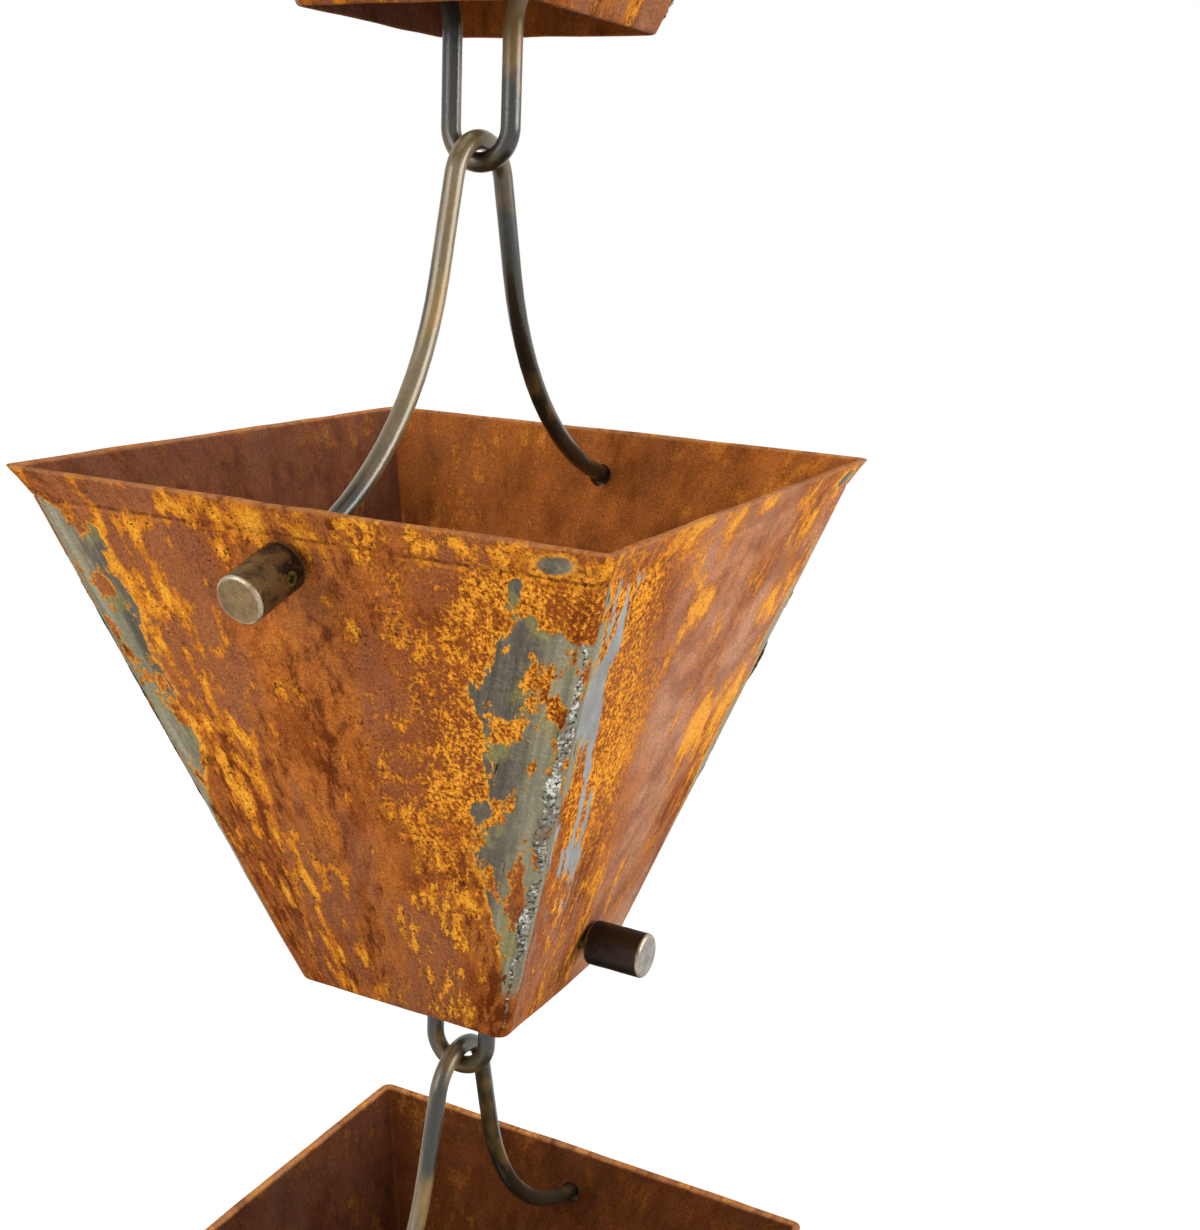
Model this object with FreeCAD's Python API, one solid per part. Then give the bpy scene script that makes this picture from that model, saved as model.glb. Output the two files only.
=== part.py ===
# Rain chain of open square cups in rusted sheet steel, hung one below another on bent round rod.
# Each cup hangs on a hanger whose two ends pass through a pair of facing walls under the lip, and
# carries a link whose two ends pass through the other pair of walls near the open bottom. Barrel
# caps on the four rod ends are held by set screws. The next hanger's loop hooks into the link's U.
# Frame: millimetres, +Z up, X along the link ends, Y along the hanger ends. The origin is the point
# inside the top ring where a hook bears. Each piece is drawn with its cup's rim at height 0.
import FreeCAD, Part
import math
import os

# Chain
cup_count = 5
hook_gap = 0.3

# Cup: outside sizes of the sheet pyramid; the lip bends out from its wall's line by lip_flare
rim_side = 130.0
bottom_side = 52.0
cup_height = 113.0
sheet = 1.5
lip_height = 6.0
lip_flare = 1.3
bend_r = 1.5
corner_r = 3.0

# Rod and the holes it passes through
wire_d = 4.0
hole_clearance = 1.5
seat_gap = 0.3

# Hanger: loop on top, legs that spread and end square to the walls
hanger_rise = 63.2
loop_r = 9.5
leg_lean_deg = 14.0
flare_r = 66.0
hanger_hole_drop = 11.0
hanger_cap_gap = 1.5

# Link: level ends through the walls, a U below the cup
link_hole_up = 13.0
link_drop = 26.0
link_bend_r = 14.0
u_half_width = 6.8
link_cap_gap = 0.5

# Top ring: closed oval of the same rod
ring_half_width = 7.0
ring_straight = 24.0

# Barrel cap and its set screw
cap_d = 9.5
cap_length = 13.0
cap_chamfer = 0.6
bore_depth = 9.0
bore_clearance = 0.1
end_gap = 0.1
screw_d = 3.0
screw_clearance = 0.1
screw_from_mouth = 4.0
screw_sunk = 0.3
screw_tip_gap = 0.05
screw_tip_chamfer = 0.4
socket_flats = 1.5
socket_depth = 1.2

# Worked-out sizes
overrun = 1.0
wire_r = wire_d / 2
hole_d = wire_d + hole_clearance
seat_shift = hole_clearance / 2 - seat_gap
cap_r = cap_d / 2
rim_half = rim_side / 2
bottom_half = bottom_side / 2
leg_lean = math.radians(leg_lean_deg)
wall_lean = math.atan2(rim_half - lip_flare - bottom_half, cup_height)
lip_lean = math.atan(math.tan(wall_lean) + lip_flare / lip_height)
crease_half = rim_half - lip_height * math.tan(lip_lean)
link_axis_z = link_hole_up - cup_height
u_bottom_z = -cup_height - link_drop
ring_bottom_z = wire_r - ring_straight - 2 * ring_half_width
loop_over_seat = wire_d + hook_gap

UP = FreeCAD.Vector(0, 0, 1)
ALONG_X = FreeCAD.Vector(1, 0, 0)
SAME_PLACE = 1e-6


def wall_half(z):
    """Half the cup's outside width at a height z below the lip."""
    return bottom_half + (z + cup_height) * math.tan(wall_lean)


def lies_level(edge, z):
    """True for an edge whose ends all lie at height z."""
    return all(abs(vertex.Z - z) < SAME_PLACE for vertex in edge.Vertexes)


def runs_down_corner(edge):
    """True for an edge that runs down a corner of the square plan, so not along the rim or the bottom."""
    if lies_level(edge, edge.Vertexes[0].Z):
        return False
    return all(abs(abs(vertex.X) - abs(vertex.Y)) < SAME_PLACE for vertex in edge.Vertexes)


def pyramid(levels, crease_r, edge_r):
    """Solid through three level squares (half width, z), its crease rounded, then its four corners."""
    rings = []
    for half, z in levels:
        signs = ((1, -1), (1, 1), (-1, 1), (-1, -1))
        rings.append([FreeCAD.Vector(x * half, y * half, z) for x, y in signs])
    outlines = [rings[0], rings[-1]]
    for upper, lower in zip(rings, rings[1:]):
        for index in range(4):
            following = (index + 1) % 4
            outlines.append([upper[index], upper[following], lower[following], lower[index]])
    faces = [Part.Face(Part.makePolygon(outline + outline[:1])) for outline in outlines]
    solid = Part.Solid(Part.Shell(faces))
    crease_z = levels[1][1]
    solid = solid.makeFillet(crease_r, [edge for edge in solid.Edges if lies_level(edge, crease_z)])
    return solid.makeFillet(edge_r, [edge for edge in solid.Edges if runs_down_corner(edge)])


def cup_shell():
    """The cup without holes: lip, four leaning walls of even thickness, open top and bottom."""
    outside = pyramid([
        (rim_half, 0),
        (crease_half, -lip_height),
        (bottom_half, -cup_height),
    ], bend_r, corner_r)
    in_lip = sheet / math.cos(lip_lean)
    in_wall = sheet / math.cos(wall_lean)
    crease_up = (in_lip - in_wall) / (math.tan(lip_lean) - math.tan(wall_lean))
    inner_crease_z = crease_up - lip_height
    inside = pyramid([
        (rim_half - in_lip + overrun * math.tan(lip_lean), overrun),
        (wall_half(inner_crease_z) - in_wall, inner_crease_z),
        (wall_half(-cup_height - overrun) - in_wall, -cup_height - overrun),
    ], bend_r + sheet, corner_r - sheet)
    return outside.cut(inside)


def hanger_end(side):
    """One hanger end at the middle of its wall: the hole's centre, the rod's axis and its way out."""
    outward = FreeCAD.Vector(0, side * math.cos(wall_lean), -math.sin(wall_lean))
    up_wall = FreeCAD.Vector(0, side * math.sin(wall_lean), math.cos(wall_lean))
    surface = FreeCAD.Vector(0, side * wall_half(-hanger_hole_drop), -hanger_hole_drop)
    hole = surface - outward * (sheet / 2)
    return hole, hole + up_wall * seat_shift, outward


def link_end(side):
    """One link end at the outside of its wall: the hole's centre, the rod's axis and its way out."""
    outward = FreeCAD.Vector(side, 0, 0)
    axis = FreeCAD.Vector(side * wall_half(link_axis_z), 0, link_axis_z)
    return axis + UP * seat_shift, axis, outward


def cap_standoff():
    """How far a level cap's mouth stands off the leaning wall at its axis, so its top edge clears it."""
    return (cap_r - cap_chamfer) * math.tan(wall_lean) + link_cap_gap


def make_cup():
    """One cup: the shell with two hanger holes square to the walls and two level link holes."""
    cup = cup_shell()
    depth = 4 * sheet
    for side in (-1, 1):
        for hole, axis, outward in (hanger_end(side), link_end(side)):
            start = hole - outward * (depth / 2)
            cup = cup.cut(Part.makeCylinder(hole_d / 2, depth, start, outward))
    return cup


def rounded_path(corners, radii, closed=False):
    """Edges of straight runs through the corners, each bend replaced by a tangent arc of its radius."""
    count = len(corners)
    arrive = {}
    leave = {}
    arcs = {}
    for index in range(count) if closed else range(1, count - 1):
        corner = corners[index]
        back = (corners[index - 1] - corner).normalize()
        ahead = (corners[(index + 1) % count] - corner).normalize()
        half_angle = back.getAngle(ahead) / 2
        reach = radii[index] / math.tan(half_angle)
        inward = (back + ahead).normalize()
        middle = corner + inward * (radii[index] / math.sin(half_angle) - radii[index])
        arrive[index] = corner + back * reach
        leave[index] = corner + ahead * reach
        arcs[index] = Part.Arc(arrive[index], middle, leave[index]).toShape()
    edges = []
    for index in range(count if closed else count - 1):
        following = (index + 1) % count
        start = leave.get(index, corners[index])
        end = arrive.get(following, corners[following])
        if start.distanceToPoint(end) > SAME_PLACE:
            edges.append(Part.makeLine(start, end))
        if following in arcs:
            edges.append(arcs[following])
    return edges


def rod_along(edges):
    """Round rod of true cylinders on the straight runs and true tori on the bends."""
    spans = []
    for edge in edges:
        start = edge.valueAt(edge.FirstParameter)
        circle = Part.makeCircle(wire_r, start, edge.tangentAt(edge.FirstParameter))
        section = Part.Face(Part.Wire([circle]))
        if isinstance(edge.Curve, Part.Line):
            spans.append(section.extrude(edge.valueAt(edge.LastParameter) - start))
        else:
            turn = math.degrees(edge.LastParameter - edge.FirstParameter)
            spans.append(section.revolve(edge.Curve.Center, edge.Curve.Axis, turn))
    return spans[0].multiFuse(spans[1:]).Solids[0]


def make_hanger_rod():
    """Rod with a loop on top, legs that spread, and ends square to the walls they pass through."""
    hole, axis, outward = hanger_end(1)
    apex = FreeCAD.Vector(0, 0, hanger_rise - loop_r + loop_r / math.sin(leg_lean))
    spread = outward.y * math.cos(leg_lean) + outward.z * math.sin(leg_lean)
    inward = (axis.y * math.cos(leg_lean) - (apex.z - axis.z) * math.sin(leg_lean)) / spread
    knee = axis - outward * inward
    tip = axis + outward * (sheet / 2 + hanger_cap_gap + bore_depth - end_gap)
    near_side = [FreeCAD.Vector(0, -corner.y, corner.z) for corner in (tip, knee)]
    return rod_along(rounded_path(near_side + [apex, knee, tip], [0, flare_r, loop_r, flare_r, 0]))


def make_link_rod():
    """Rod with level ends, two bends down inside the cup and a round U below it."""
    hole, axis, outward = link_end(1)
    tip = axis + outward * (cap_standoff() + bore_depth - end_gap)
    bend = FreeCAD.Vector(u_half_width, 0, link_axis_z)
    foot = FreeCAD.Vector(u_half_width, 0, u_bottom_z)
    left_side = [FreeCAD.Vector(-corner.x, 0, corner.z) for corner in (foot, bend, tip)]
    radii = [0, link_bend_r, u_half_width, u_half_width, link_bend_r, 0]
    return rod_along(rounded_path([tip, bend, foot] + left_side, radii))


def make_top_ring():
    """Closed oval ring that the first hanger hooks into."""
    corners = [
        FreeCAD.Vector(ring_half_width, 0, wire_r),
        FreeCAD.Vector(ring_half_width, 0, ring_bottom_z),
        FreeCAD.Vector(-ring_half_width, 0, ring_bottom_z),
        FreeCAD.Vector(-ring_half_width, 0, wire_r),
    ]
    return rod_along(rounded_path(corners, [ring_half_width] * len(corners), closed=True))


def make_cap():
    """Barrel cap along +X from its mouth, with a blind bore and a screw hole through its +Z side."""
    bore_r = (wire_d + bore_clearance) / 2
    outline = [
        FreeCAD.Vector(0, 0, bore_r),
        FreeCAD.Vector(0, 0, cap_r - cap_chamfer),
        FreeCAD.Vector(cap_chamfer, 0, cap_r),
        FreeCAD.Vector(cap_length - cap_chamfer, 0, cap_r),
        FreeCAD.Vector(cap_length, 0, cap_r - cap_chamfer),
        FreeCAD.Vector(cap_length, 0, 0),
        FreeCAD.Vector(bore_depth, 0, 0),
        FreeCAD.Vector(bore_depth, 0, bore_r),
    ]
    section = Part.Face(Part.makePolygon(outline + outline[:1]))
    barrel = section.revolve(FreeCAD.Vector(), ALONG_X, 360)
    screw_hole = Part.makeCylinder(screw_d / 2, cap_d, FreeCAD.Vector(screw_from_mouth, 0, 0), UP)
    return barrel.cut(screw_hole)


def make_screw():
    """Set screw along +Z in the cap's own frame, its tip at the rod, with a six-sided socket."""
    tip_z = wire_r + screw_tip_gap
    head_z = cap_r - screw_sunk
    foot = FreeCAD.Vector(screw_from_mouth, 0, tip_z)
    body = Part.makeCylinder((screw_d - screw_clearance) / 2, head_z - tip_z, foot, UP)
    body = body.makeChamfer(screw_tip_chamfer, [edge for edge in body.Edges if lies_level(edge, tip_z)])
    socket_r = socket_flats / math.sqrt(3)
    floor = FreeCAD.Vector(screw_from_mouth, 0, head_z - socket_depth)
    turns = [math.radians(60 * step) for step in range(6)]
    ring = [floor + FreeCAD.Vector(math.cos(turn), math.sin(turn), 0) * socket_r for turn in turns]
    socket = Part.Face(Part.makePolygon(ring + ring[:1])).extrude(UP * (socket_depth + overrun))
    return body.cut(socket)


def on_rod_end(shape, mouth, outward, screw_side):
    """A copy of a cap or screw on a rod end: its +X goes along outward, its +Z to the screw's side."""
    placed = shape.copy()
    turn = FreeCAD.Rotation(outward, FreeCAD.Vector(), screw_side, "XZY")
    placed.Placement = FreeCAD.Placement(mouth, turn)
    return placed


def cup_set():
    """All pieces of one cup, by name, with the cup's rim at height 0."""
    pieces = {"cup": make_cup(), "hanger_rod": make_hanger_rod(), "link_rod": make_link_rod()}
    cap = make_cap()
    screw = make_screw()
    for end_name, side in (("front", -1), ("back", 1)):
        hole, axis, outward = hanger_end(side)
        mouth = axis + outward * (sheet / 2 + hanger_cap_gap)
        pieces["hanger_cap_" + end_name] = on_rod_end(cap, mouth, outward, ALONG_X)
        pieces["hanger_screw_" + end_name] = on_rod_end(screw, mouth, outward, ALONG_X)
    for end_name, side in (("left", -1), ("right", 1)):
        hole, axis, outward = link_end(side)
        mouth = axis + outward * cap_standoff()
        pieces["link_cap_" + end_name] = on_rod_end(cap, mouth, outward, UP * -side)
        pieces["link_screw_" + end_name] = on_rod_end(screw, mouth, outward, UP * -side)
    return pieces


def build_chain():
    """Writes the top ring, then the pieces of each cup at its place, cup 1 on top."""
    os.makedirs("parts", exist_ok=True)
    make_top_ring().exportStep("parts/top_ring.step")
    pieces = cup_set()
    seat_z = ring_bottom_z
    for number in range(1, cup_count + 1):
        rim_z = seat_z + loop_over_seat - hanger_rise
        for name, shape in pieces.items():
            placed = shape.copy()
            placed.translate(UP * rim_z)
            placed.exportStep("parts/" + name + "_" + str(number) + ".step")
        seat_z = rim_z + u_bottom_z


build_chain()
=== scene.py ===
import math
from functools import partial
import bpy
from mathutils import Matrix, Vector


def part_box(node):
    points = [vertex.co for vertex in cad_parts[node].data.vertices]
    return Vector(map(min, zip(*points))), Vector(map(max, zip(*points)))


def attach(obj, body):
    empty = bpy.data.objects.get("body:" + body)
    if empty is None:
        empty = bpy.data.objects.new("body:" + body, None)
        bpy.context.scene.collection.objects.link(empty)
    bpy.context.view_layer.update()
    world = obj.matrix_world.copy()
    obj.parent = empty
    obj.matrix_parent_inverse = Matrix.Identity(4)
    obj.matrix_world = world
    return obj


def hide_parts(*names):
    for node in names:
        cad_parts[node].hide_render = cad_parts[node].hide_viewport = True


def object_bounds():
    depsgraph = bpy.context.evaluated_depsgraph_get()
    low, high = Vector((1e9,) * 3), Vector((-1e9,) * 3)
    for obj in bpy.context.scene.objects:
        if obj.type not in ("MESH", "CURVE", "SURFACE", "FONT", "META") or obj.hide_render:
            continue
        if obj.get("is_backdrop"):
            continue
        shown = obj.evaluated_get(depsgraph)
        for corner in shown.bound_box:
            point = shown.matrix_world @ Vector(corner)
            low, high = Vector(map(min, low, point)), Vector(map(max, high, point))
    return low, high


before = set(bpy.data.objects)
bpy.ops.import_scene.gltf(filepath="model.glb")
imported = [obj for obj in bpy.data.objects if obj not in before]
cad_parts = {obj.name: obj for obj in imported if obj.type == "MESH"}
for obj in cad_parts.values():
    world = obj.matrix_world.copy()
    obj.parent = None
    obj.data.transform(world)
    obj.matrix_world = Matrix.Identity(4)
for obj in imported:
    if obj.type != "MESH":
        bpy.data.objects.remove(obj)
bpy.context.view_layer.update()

from types import SimpleNamespace

import bpy
import numpy as np
from mathutils import Matrix, Vector

# Visible surfaces of a rain chain: square cups of rusted sheet steel with welded corners, hangers and
# links of bent rod, barrel caps and set screws. All lengths are metres in the frame of the model: +Z up,
# X along the link ends, Y along the hanger ends.

bl_info = {
    "name": "Rain chain of rusted cups",
    "version": (1, 0, 0),
    "blender": (4, 5, 0),
    "location": "3D View > Sidebar > Rain chain",
    "description": "Builds the visible surfaces and finishes of a rain chain of square steel cups",
    "category": "Object",
}

MM = 0.001
CUPS = range(1, 1 + sum(name.startswith("cup_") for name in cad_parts))
CUP_LOW, CUP_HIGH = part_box("cup_1")
RING_LOW, RING_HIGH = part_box("top_ring")


# Settings that a user would change

def length(name, description, millimetres):
    """A length property whose default is given in millimetres."""
    return bpy.props.FloatProperty(name=name, description=description, default=millimetres * MM,
                                   precision=5, unit="LENGTH")


def angle(name, description, degrees):
    """An angle property whose default is given in degrees."""
    return bpy.props.FloatProperty(name=name, description=description, default=math.radians(degrees),
                                   subtype="ANGLE")


def linear(hex_colour):
    """Linear red, green, blue and alpha of an sRGB hex colour such as #a5612e."""
    srgb = [int(hex_colour[start:start + 2], 16) / 255 for start in (1, 3, 5)]
    return [part / 12.92 if part <= 0.04045 else ((part + 0.055) / 1.055) ** 2.4 for part in srgb] + [1.0]


def colour(name, description, hex_colour):
    """A colour property whose default is given as an sRGB hex value."""
    return bpy.props.FloatVectorProperty(name=name, description=description, subtype="COLOR", size=4,
                                         min=0, max=1, default=linear(hex_colour))


class CupSizes(bpy.types.PropertyGroup):
    """Sheet pyramid with a bent-out lip, open at the top and the bottom"""
    rim_side: length("Rim side", "Outside width of the square rim", (CUP_HIGH.x - CUP_LOW.x) / MM)
    height: length("Height", "From the rim to the bottom edge", (CUP_HIGH.z - CUP_LOW.z) / MM)
    bottom_side: length("Bottom side", "Outside width of the square bottom", 52)
    sheet: length("Sheet", "Thickness of the steel sheet", 1.5)
    lip_height: length("Lip height", "Height of the lip above its crease", 6)
    lip_flare: length("Lip flare", "How far the rim stands out from the line of the wall", 1.3)
    crease_softness: length("Crease softness", "Width over which the lip's bend is rounded", 0.12)
    corner_radius: length("Corner radius", "Outside radius of the four upright corners", 3)
    edge_radius: length("Edge radius", "Rounding of the cut rim and bottom edges", 0.35)
    hole: length("Hole", "Diameter of the rod holes", 5.5)
    hanger_hole_drop: length("Hanger hole drop", "From the rim down to the hanger holes", 11)
    link_hole_up: length("Link rod height", "From the bottom edge up to the link rod", 13)
    seat_shift: length("Seat shift", "From a rod's axis to its hole's centre", 0.45)
    dent: length("Dent depth", "Depth of the broad dents in the walls", 0.5)
    scale_relief: length("Scale relief", "Depth of the rust's uneven scale", 0.07)
    groove: length("Groove", "Depth of the line pressed in under the lip", 0.25)


class WeldSizes(bpy.types.PropertyGroup):
    """Bead of weld metal down each corner of a cup"""
    half_width: length("Half width", "Half the width of the bead", 1.25)
    height: length("Height", "Height of the bead above its sunk middle", 0.85)
    from_rim: length("From the rim", "Where the bead starts below the rim", 17)
    from_foot: length("From the bottom", "Where the bead ends above the bottom edge", 3)
    sunk: length("Sunk", "How far the bead's middle lies under the corner", 0.35)
    lump: length("Lump", "Spacing of the ripples along the bead", 1.6)
    grit: length("Grit", "Size of the spatter grains on the bead", 0.75)
    grit_depth: length("Grit depth", "Height of the spatter grains", 0.32)


class RodSizes(bpy.types.PropertyGroup):
    """Bent round rod of the hangers, links and top ring"""
    diameter: length("Diameter", "Diameter of the rod", 4)
    hanger_rise: length("Hanger rise", "From the rim up to the middle of the loop's rod", 63.2)
    loop_radius: length("Loop radius", "Radius of the hanger's top bend", 9.5)
    leg_lean: angle("Leg lean", "Lean of the hanger's legs below its loop", 14)
    flare_radius: length("Flare radius", "Radius of the bend that spreads each leg", 66)
    link_drop: length("Link drop", "From the cup's bottom down to the middle of the U's rod", 26)
    link_bend: length("Link bend", "Radius of the link's bends inside the cup", 14)
    u_half_width: length("U half width", "Radius of the link's U", 6.8)
    ring_half_width: length("Ring half width", "Radius of the top ring's round ends", 7)
    unevenness: bpy.props.FloatProperty(name="Unevenness", default=0.012, subtype="FACTOR",
                                        description="Share by which the rod's surface wanders")


class CapSizes(bpy.types.PropertyGroup):
    """Barrel caps on the rod ends, with a set screw in the side"""
    diameter: length("Diameter", "Outside diameter of the bar", 9.5)
    length: length("Length", "Length of the cap", 13)
    chamfer: length("Chamfer", "Width of the broken edges", 0.6)
    bore: length("Bore", "Diameter of the blind bore for the rod", 4.1)
    bore_depth: length("Bore depth", "Depth of the blind bore", 9)
    end_gap: length("End gap", "From the rod's tip to the bore's end", 0.1)
    hanger_gap: length("Hanger gap", "From the wall to the mouth of a hanger's cap", 1.5)
    link_gap: length("Link gap", "Least gap from the wall to the mouth of a link's cap", 0.5)
    screw_hole: length("Screw hole", "Diameter of the set screw's hole", 3)
    screw_place: length("Screw place", "From the cap's mouth to the set screw", 4)
    wear: length("Wear", "Depth of the knocks in the cap's surface", 0.06)


class RustColours(bpy.types.PropertyGroup):
    """Weathered sheet steel"""
    deep: colour("Deep rust", "Oldest rust in the blotches", "#662f0a")
    red: colour("Red rust", "Redder clouds in the old rust", "#823a10")
    brown: colour("Brown rust", "Common brown rust", "#a35a24")
    rust: colour("Rust", "Paler rust", "#be6e2a")
    umber: colour("Umber rust", "Smooth greyer clouds in the old rust", "#895238")
    dusty: colour("Dusty rust", "Smooth pinkish rust", "#b98769")
    mauve: colour("Mauve rust", "Darker clouds in the pinkish rust", "#98674f")
    scale: colour("Scale", "Orange scale", "#cf7c22")
    young: colour("Young scale", "Youngest, yellow scale", "#f0a233")
    # Painted shade: the inside colours stand in partly for the shade inside a cup, the dusty walls' inside
    # most
    inside: colour("Inside rust", "Rust of the sheltered inside", "#a85f26")
    inside_dusty: colour("Dusty inside", "Sheltered inside of the dusty walls", "#5e392c")
    # Painted shade: the darkest inside colour, for the cups that the cup above shades
    in_shade: colour("Damp rust", "Inside of the cups that stay damp", "#3b1b10")
    rim: colour("Rubbed rim", "Cut edge of the rim", "#c98a5a")
    bare: colour("Bare steel", "Dark edge of the bare steel", "#665f53")
    ground: colour("Ground steel", "Steel ground beside the welds", "#918a72")
    olive: colour("Olive film", "Olive film on the ground steel", "#8f8650")
    mill: colour("Mill skin", "Blue-grey mill skin left in strips", "#b3b6b8")
    # The dark grains' colour also paints the shade line under the lip
    grains: colour("Dark grains", "Pits and scratches", "#40200f")
    crease: bpy.props.FloatProperty(name="Crease depth", default=6.2,
                                    description="Millimetres from the rim to the dark line under the lip")


class MetalColours(bpy.types.PropertyGroup):
    """Rods, caps, welds and screws"""
    rod: colour("Rod", "Drawn steel rod", "#74623f")
    # The dark film colour also paints the shade on the links and the back legs of the hangers
    rod_shadow: colour("Rod film", "Dark film on the rod", "#2d2a20")
    rod_bronze: colour("Rod bronze", "Bronze bloom on the rod", "#94702f")
    cap: colour("Cap", "Brown film on the turned bar", "#785c36")
    cap_dark: colour("Cap dark", "Black film on the turned bar", "#241b15")
    cap_olive: colour("Cap olive", "Olive patches on the turned bar", "#7a6633")
    cap_face: colour("Cap face", "Sawn end of the bar", "#8a7049")
    cap_bare: colour("Bare cap face", "Sawn end of the blackened bar", "#98938a")
    worn: colour("Worn edge", "Rubbed edges", "#c9b99c")
    # Painted glints: the near-white colour of the brightest weld grains
    weld: colour("Weld", "Bright weld metal", "#dad7cc")
    weld_grey: colour("Weld grey", "Dull weld metal", "#858172")
    weld_dark: colour("Weld slag", "Slag in the weld's hollows", "#38322a")
    weld_rust: colour("Weld rust", "Rust in the dull patches of the weld", "#8a5a2c")
    screw: colour("Screw", "Yellow plating", "#9a9148")
    screw_dull: colour("Screw dull", "Dulled plating", "#5f5830")


class StageSettings(bpy.types.PropertyGroup):
    """Floor, light and camera"""
    floor: colour("Floor", "Pale floor", "#f4f4f2")
    floor_drop: length("Floor drop", "From the chain's lowest point to the floor", 110)
    aim_cup: bpy.props.IntProperty(name="Cup in view", description="Number of the cup that fills the picture",
                                   default=3)
    camera_x: length("Camera X", "Camera's place from the middle of that cup's rim", 163.85)
    camera_y: length("Camera Y", "Camera's place from the middle of that cup's rim", -268.08)
    camera_z: length("Camera Z", "Camera's place from the middle of that cup's rim", 48.69)
    turn: angle("Turn", "Turn of the view to the left of +Y", 26.416)
    pitch: angle("Pitch", "Tilt of the view below level", 14.42)
    roll: angle("Roll", "Turn of the picture", 2.495)
    lens: bpy.props.FloatProperty(name="Lens", description="Focal length", default=44.764,
                                  unit="CAMERA")


class RainChainSettings(bpy.types.PropertyGroup):
    """All settings of the rain chain"""
    cup: bpy.props.PointerProperty(type=CupSizes)
    weld: bpy.props.PointerProperty(type=WeldSizes)
    rod: bpy.props.PointerProperty(type=RodSizes)
    cap: bpy.props.PointerProperty(type=CapSizes)
    rust: bpy.props.PointerProperty(type=RustColours)
    metal: bpy.props.PointerProperty(type=MetalColours)
    stage: bpy.props.PointerProperty(type=StageSettings)


# Numpy helpers for surfaces

def smooth_step(value, low, high):
    """Rises from 0 at low to 1 at high along the cubic 3t^2 - 2t^3."""
    t = np.clip((value - low) / (high - low), 0, 1)
    return t * t * (3 - 2 * t)


# Numbers that scatter the lattice of the noise
HASH = np.array([127.1, 311.7, 74.7])
HASH_SEED, HASH_SCALE = 53.3, 43758.5453


def value_noise(points, size, seed=0):
    """Smooth noise from -1 to 1: a hashed number at each corner of a lattice with the given cell size,
    blended across the cell by 3t^2 - 2t^3 along each axis. The hash is the fraction of a large sine."""
    cell = points / size
    base = np.floor(cell)
    t = smooth_step(cell - base, 0, 1)
    total = np.zeros(points.shape[:-1])
    for corner in np.ndindex(2, 2, 2):
        lattice = base + np.array(corner)
        wave = np.sin(lattice @ HASH + seed * HASH_SEED) * HASH_SCALE
        share = np.where(corner, t, 1 - t).prod(axis=-1)
        total += (wave - np.floor(wave)) * share
    return 2 * total - 1


def grid_faces(rows, columns, rows_closed, columns_closed):
    """Quads of a grid of vertices numbered row by row, wrapped round where it is closed."""
    i = np.arange(rows if rows_closed else rows - 1)[:, None]
    j = np.arange(columns if columns_closed else columns - 1)[None, :]
    below = (i + 1) % rows
    after = (j + 1) % columns
    corners = (i * columns + j, below * columns + j, below * columns + after, i * columns + after)
    return np.stack(np.broadcast_arrays(*corners), axis=-1)


def add_piece(name, points, faces, body, material, stands_for=(), fields=None, crease=40):
    """Makes a mesh object from vertices and a tuple of face arrays, with its point fields, body, slot and
    material."""
    mesh = bpy.data.meshes.new(name)
    mesh.from_pydata(points.reshape(-1, 3), [], sum((part.tolist() for part in faces), []))
    mesh.validate()
    for key, values in (fields or {}).items():
        kind, part = ("FLOAT_VECTOR", "vector") if values.ndim > 1 else ("FLOAT", "value")
        mesh.attributes.new(key, kind, "POINT").data.foreach_set(part, values.ravel().astype(np.float32))
    mesh.shade_smooth()
    mesh.set_sharp_from_angle(angle=math.radians(crease))
    mesh.materials.append(material)
    piece = bpy.data.objects.new(name, mesh)
    bpy.context.scene.collection.objects.link(piece)
    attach(piece, body)
    for node in stands_for:
        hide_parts(node)
    return piece


def closed_tube(rings):
    """Vertices, and the four-sided and three-sided faces, of a tube through rings of points, each end closed
    by a fan to its middle."""
    rows, columns = rings.shape[:2]
    faces = grid_faces(rows, columns, False, True).reshape(-1, 4)[:, ::-1]
    points = np.concatenate([rings.reshape(-1, 3), rings[0].mean(0)[None], rings[-1].mean(0)[None]])
    ring = np.arange(columns)
    after = (ring + 1) % columns
    last = (rows - 1) * columns
    start_fan = np.stack([np.full(columns, rows * columns), after, ring], axis=-1)
    end_fan = np.stack([np.full(columns, rows * columns + 1), last + ring, last + after], axis=-1)
    return points, (faces, np.concatenate([start_fan, end_fan]))


# Shapes worked out from the settings

# Grid of a cup: cells from a hole's middle to its edge and to the end of its block, and how many columns
# and rows each stretch has
HOLE_CELLS = 3
BLOCK_CELLS = 6
HOLE_CELL = 0.75 * MM
WALLS = 4
ARC_COLUMNS = 6
WALL_COLUMNS, CORNER_COLUMNS = 20, 13
CORNER_ZONE = 11 * MM
LIP_ROWS, CREASE_ROWS, WALL_ROWS, FOOT_ROWS = 6, 7, 46, 8
LIP_END, CREASE_ZONE = 0.6 * MM, 0.45 * MM
LEAST_RADIUS = 0.3 * MM

# Offsets that give each cup, wall and corner its own part of a noise
CUP_SHIFT = 0.37
WALL_LAYER, CUP_LAYER = 0.731, 3.17
CORNER_BEAD, CUP_BEAD = 7.1, 1.3

# Wear of the sheet: the flat zone round a hole, the sizes of dents and of two layers of scale, the width of
# the pressed line, and the size, depth and zone of the uneven cut edges
FLAT_ZONE = 6 * MM, 16 * MM
DENT_SIZE = 34 * MM
SCALE_SIZES = 5 * MM, 2.4 * MM
GROOVE_WIDTH = 0.35 * MM
RAGGED_SIZE, RAGGED_DEPTH, RAGGED_ZONE = 9 * MM, 0.3 * MM, 3 * MM

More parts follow.
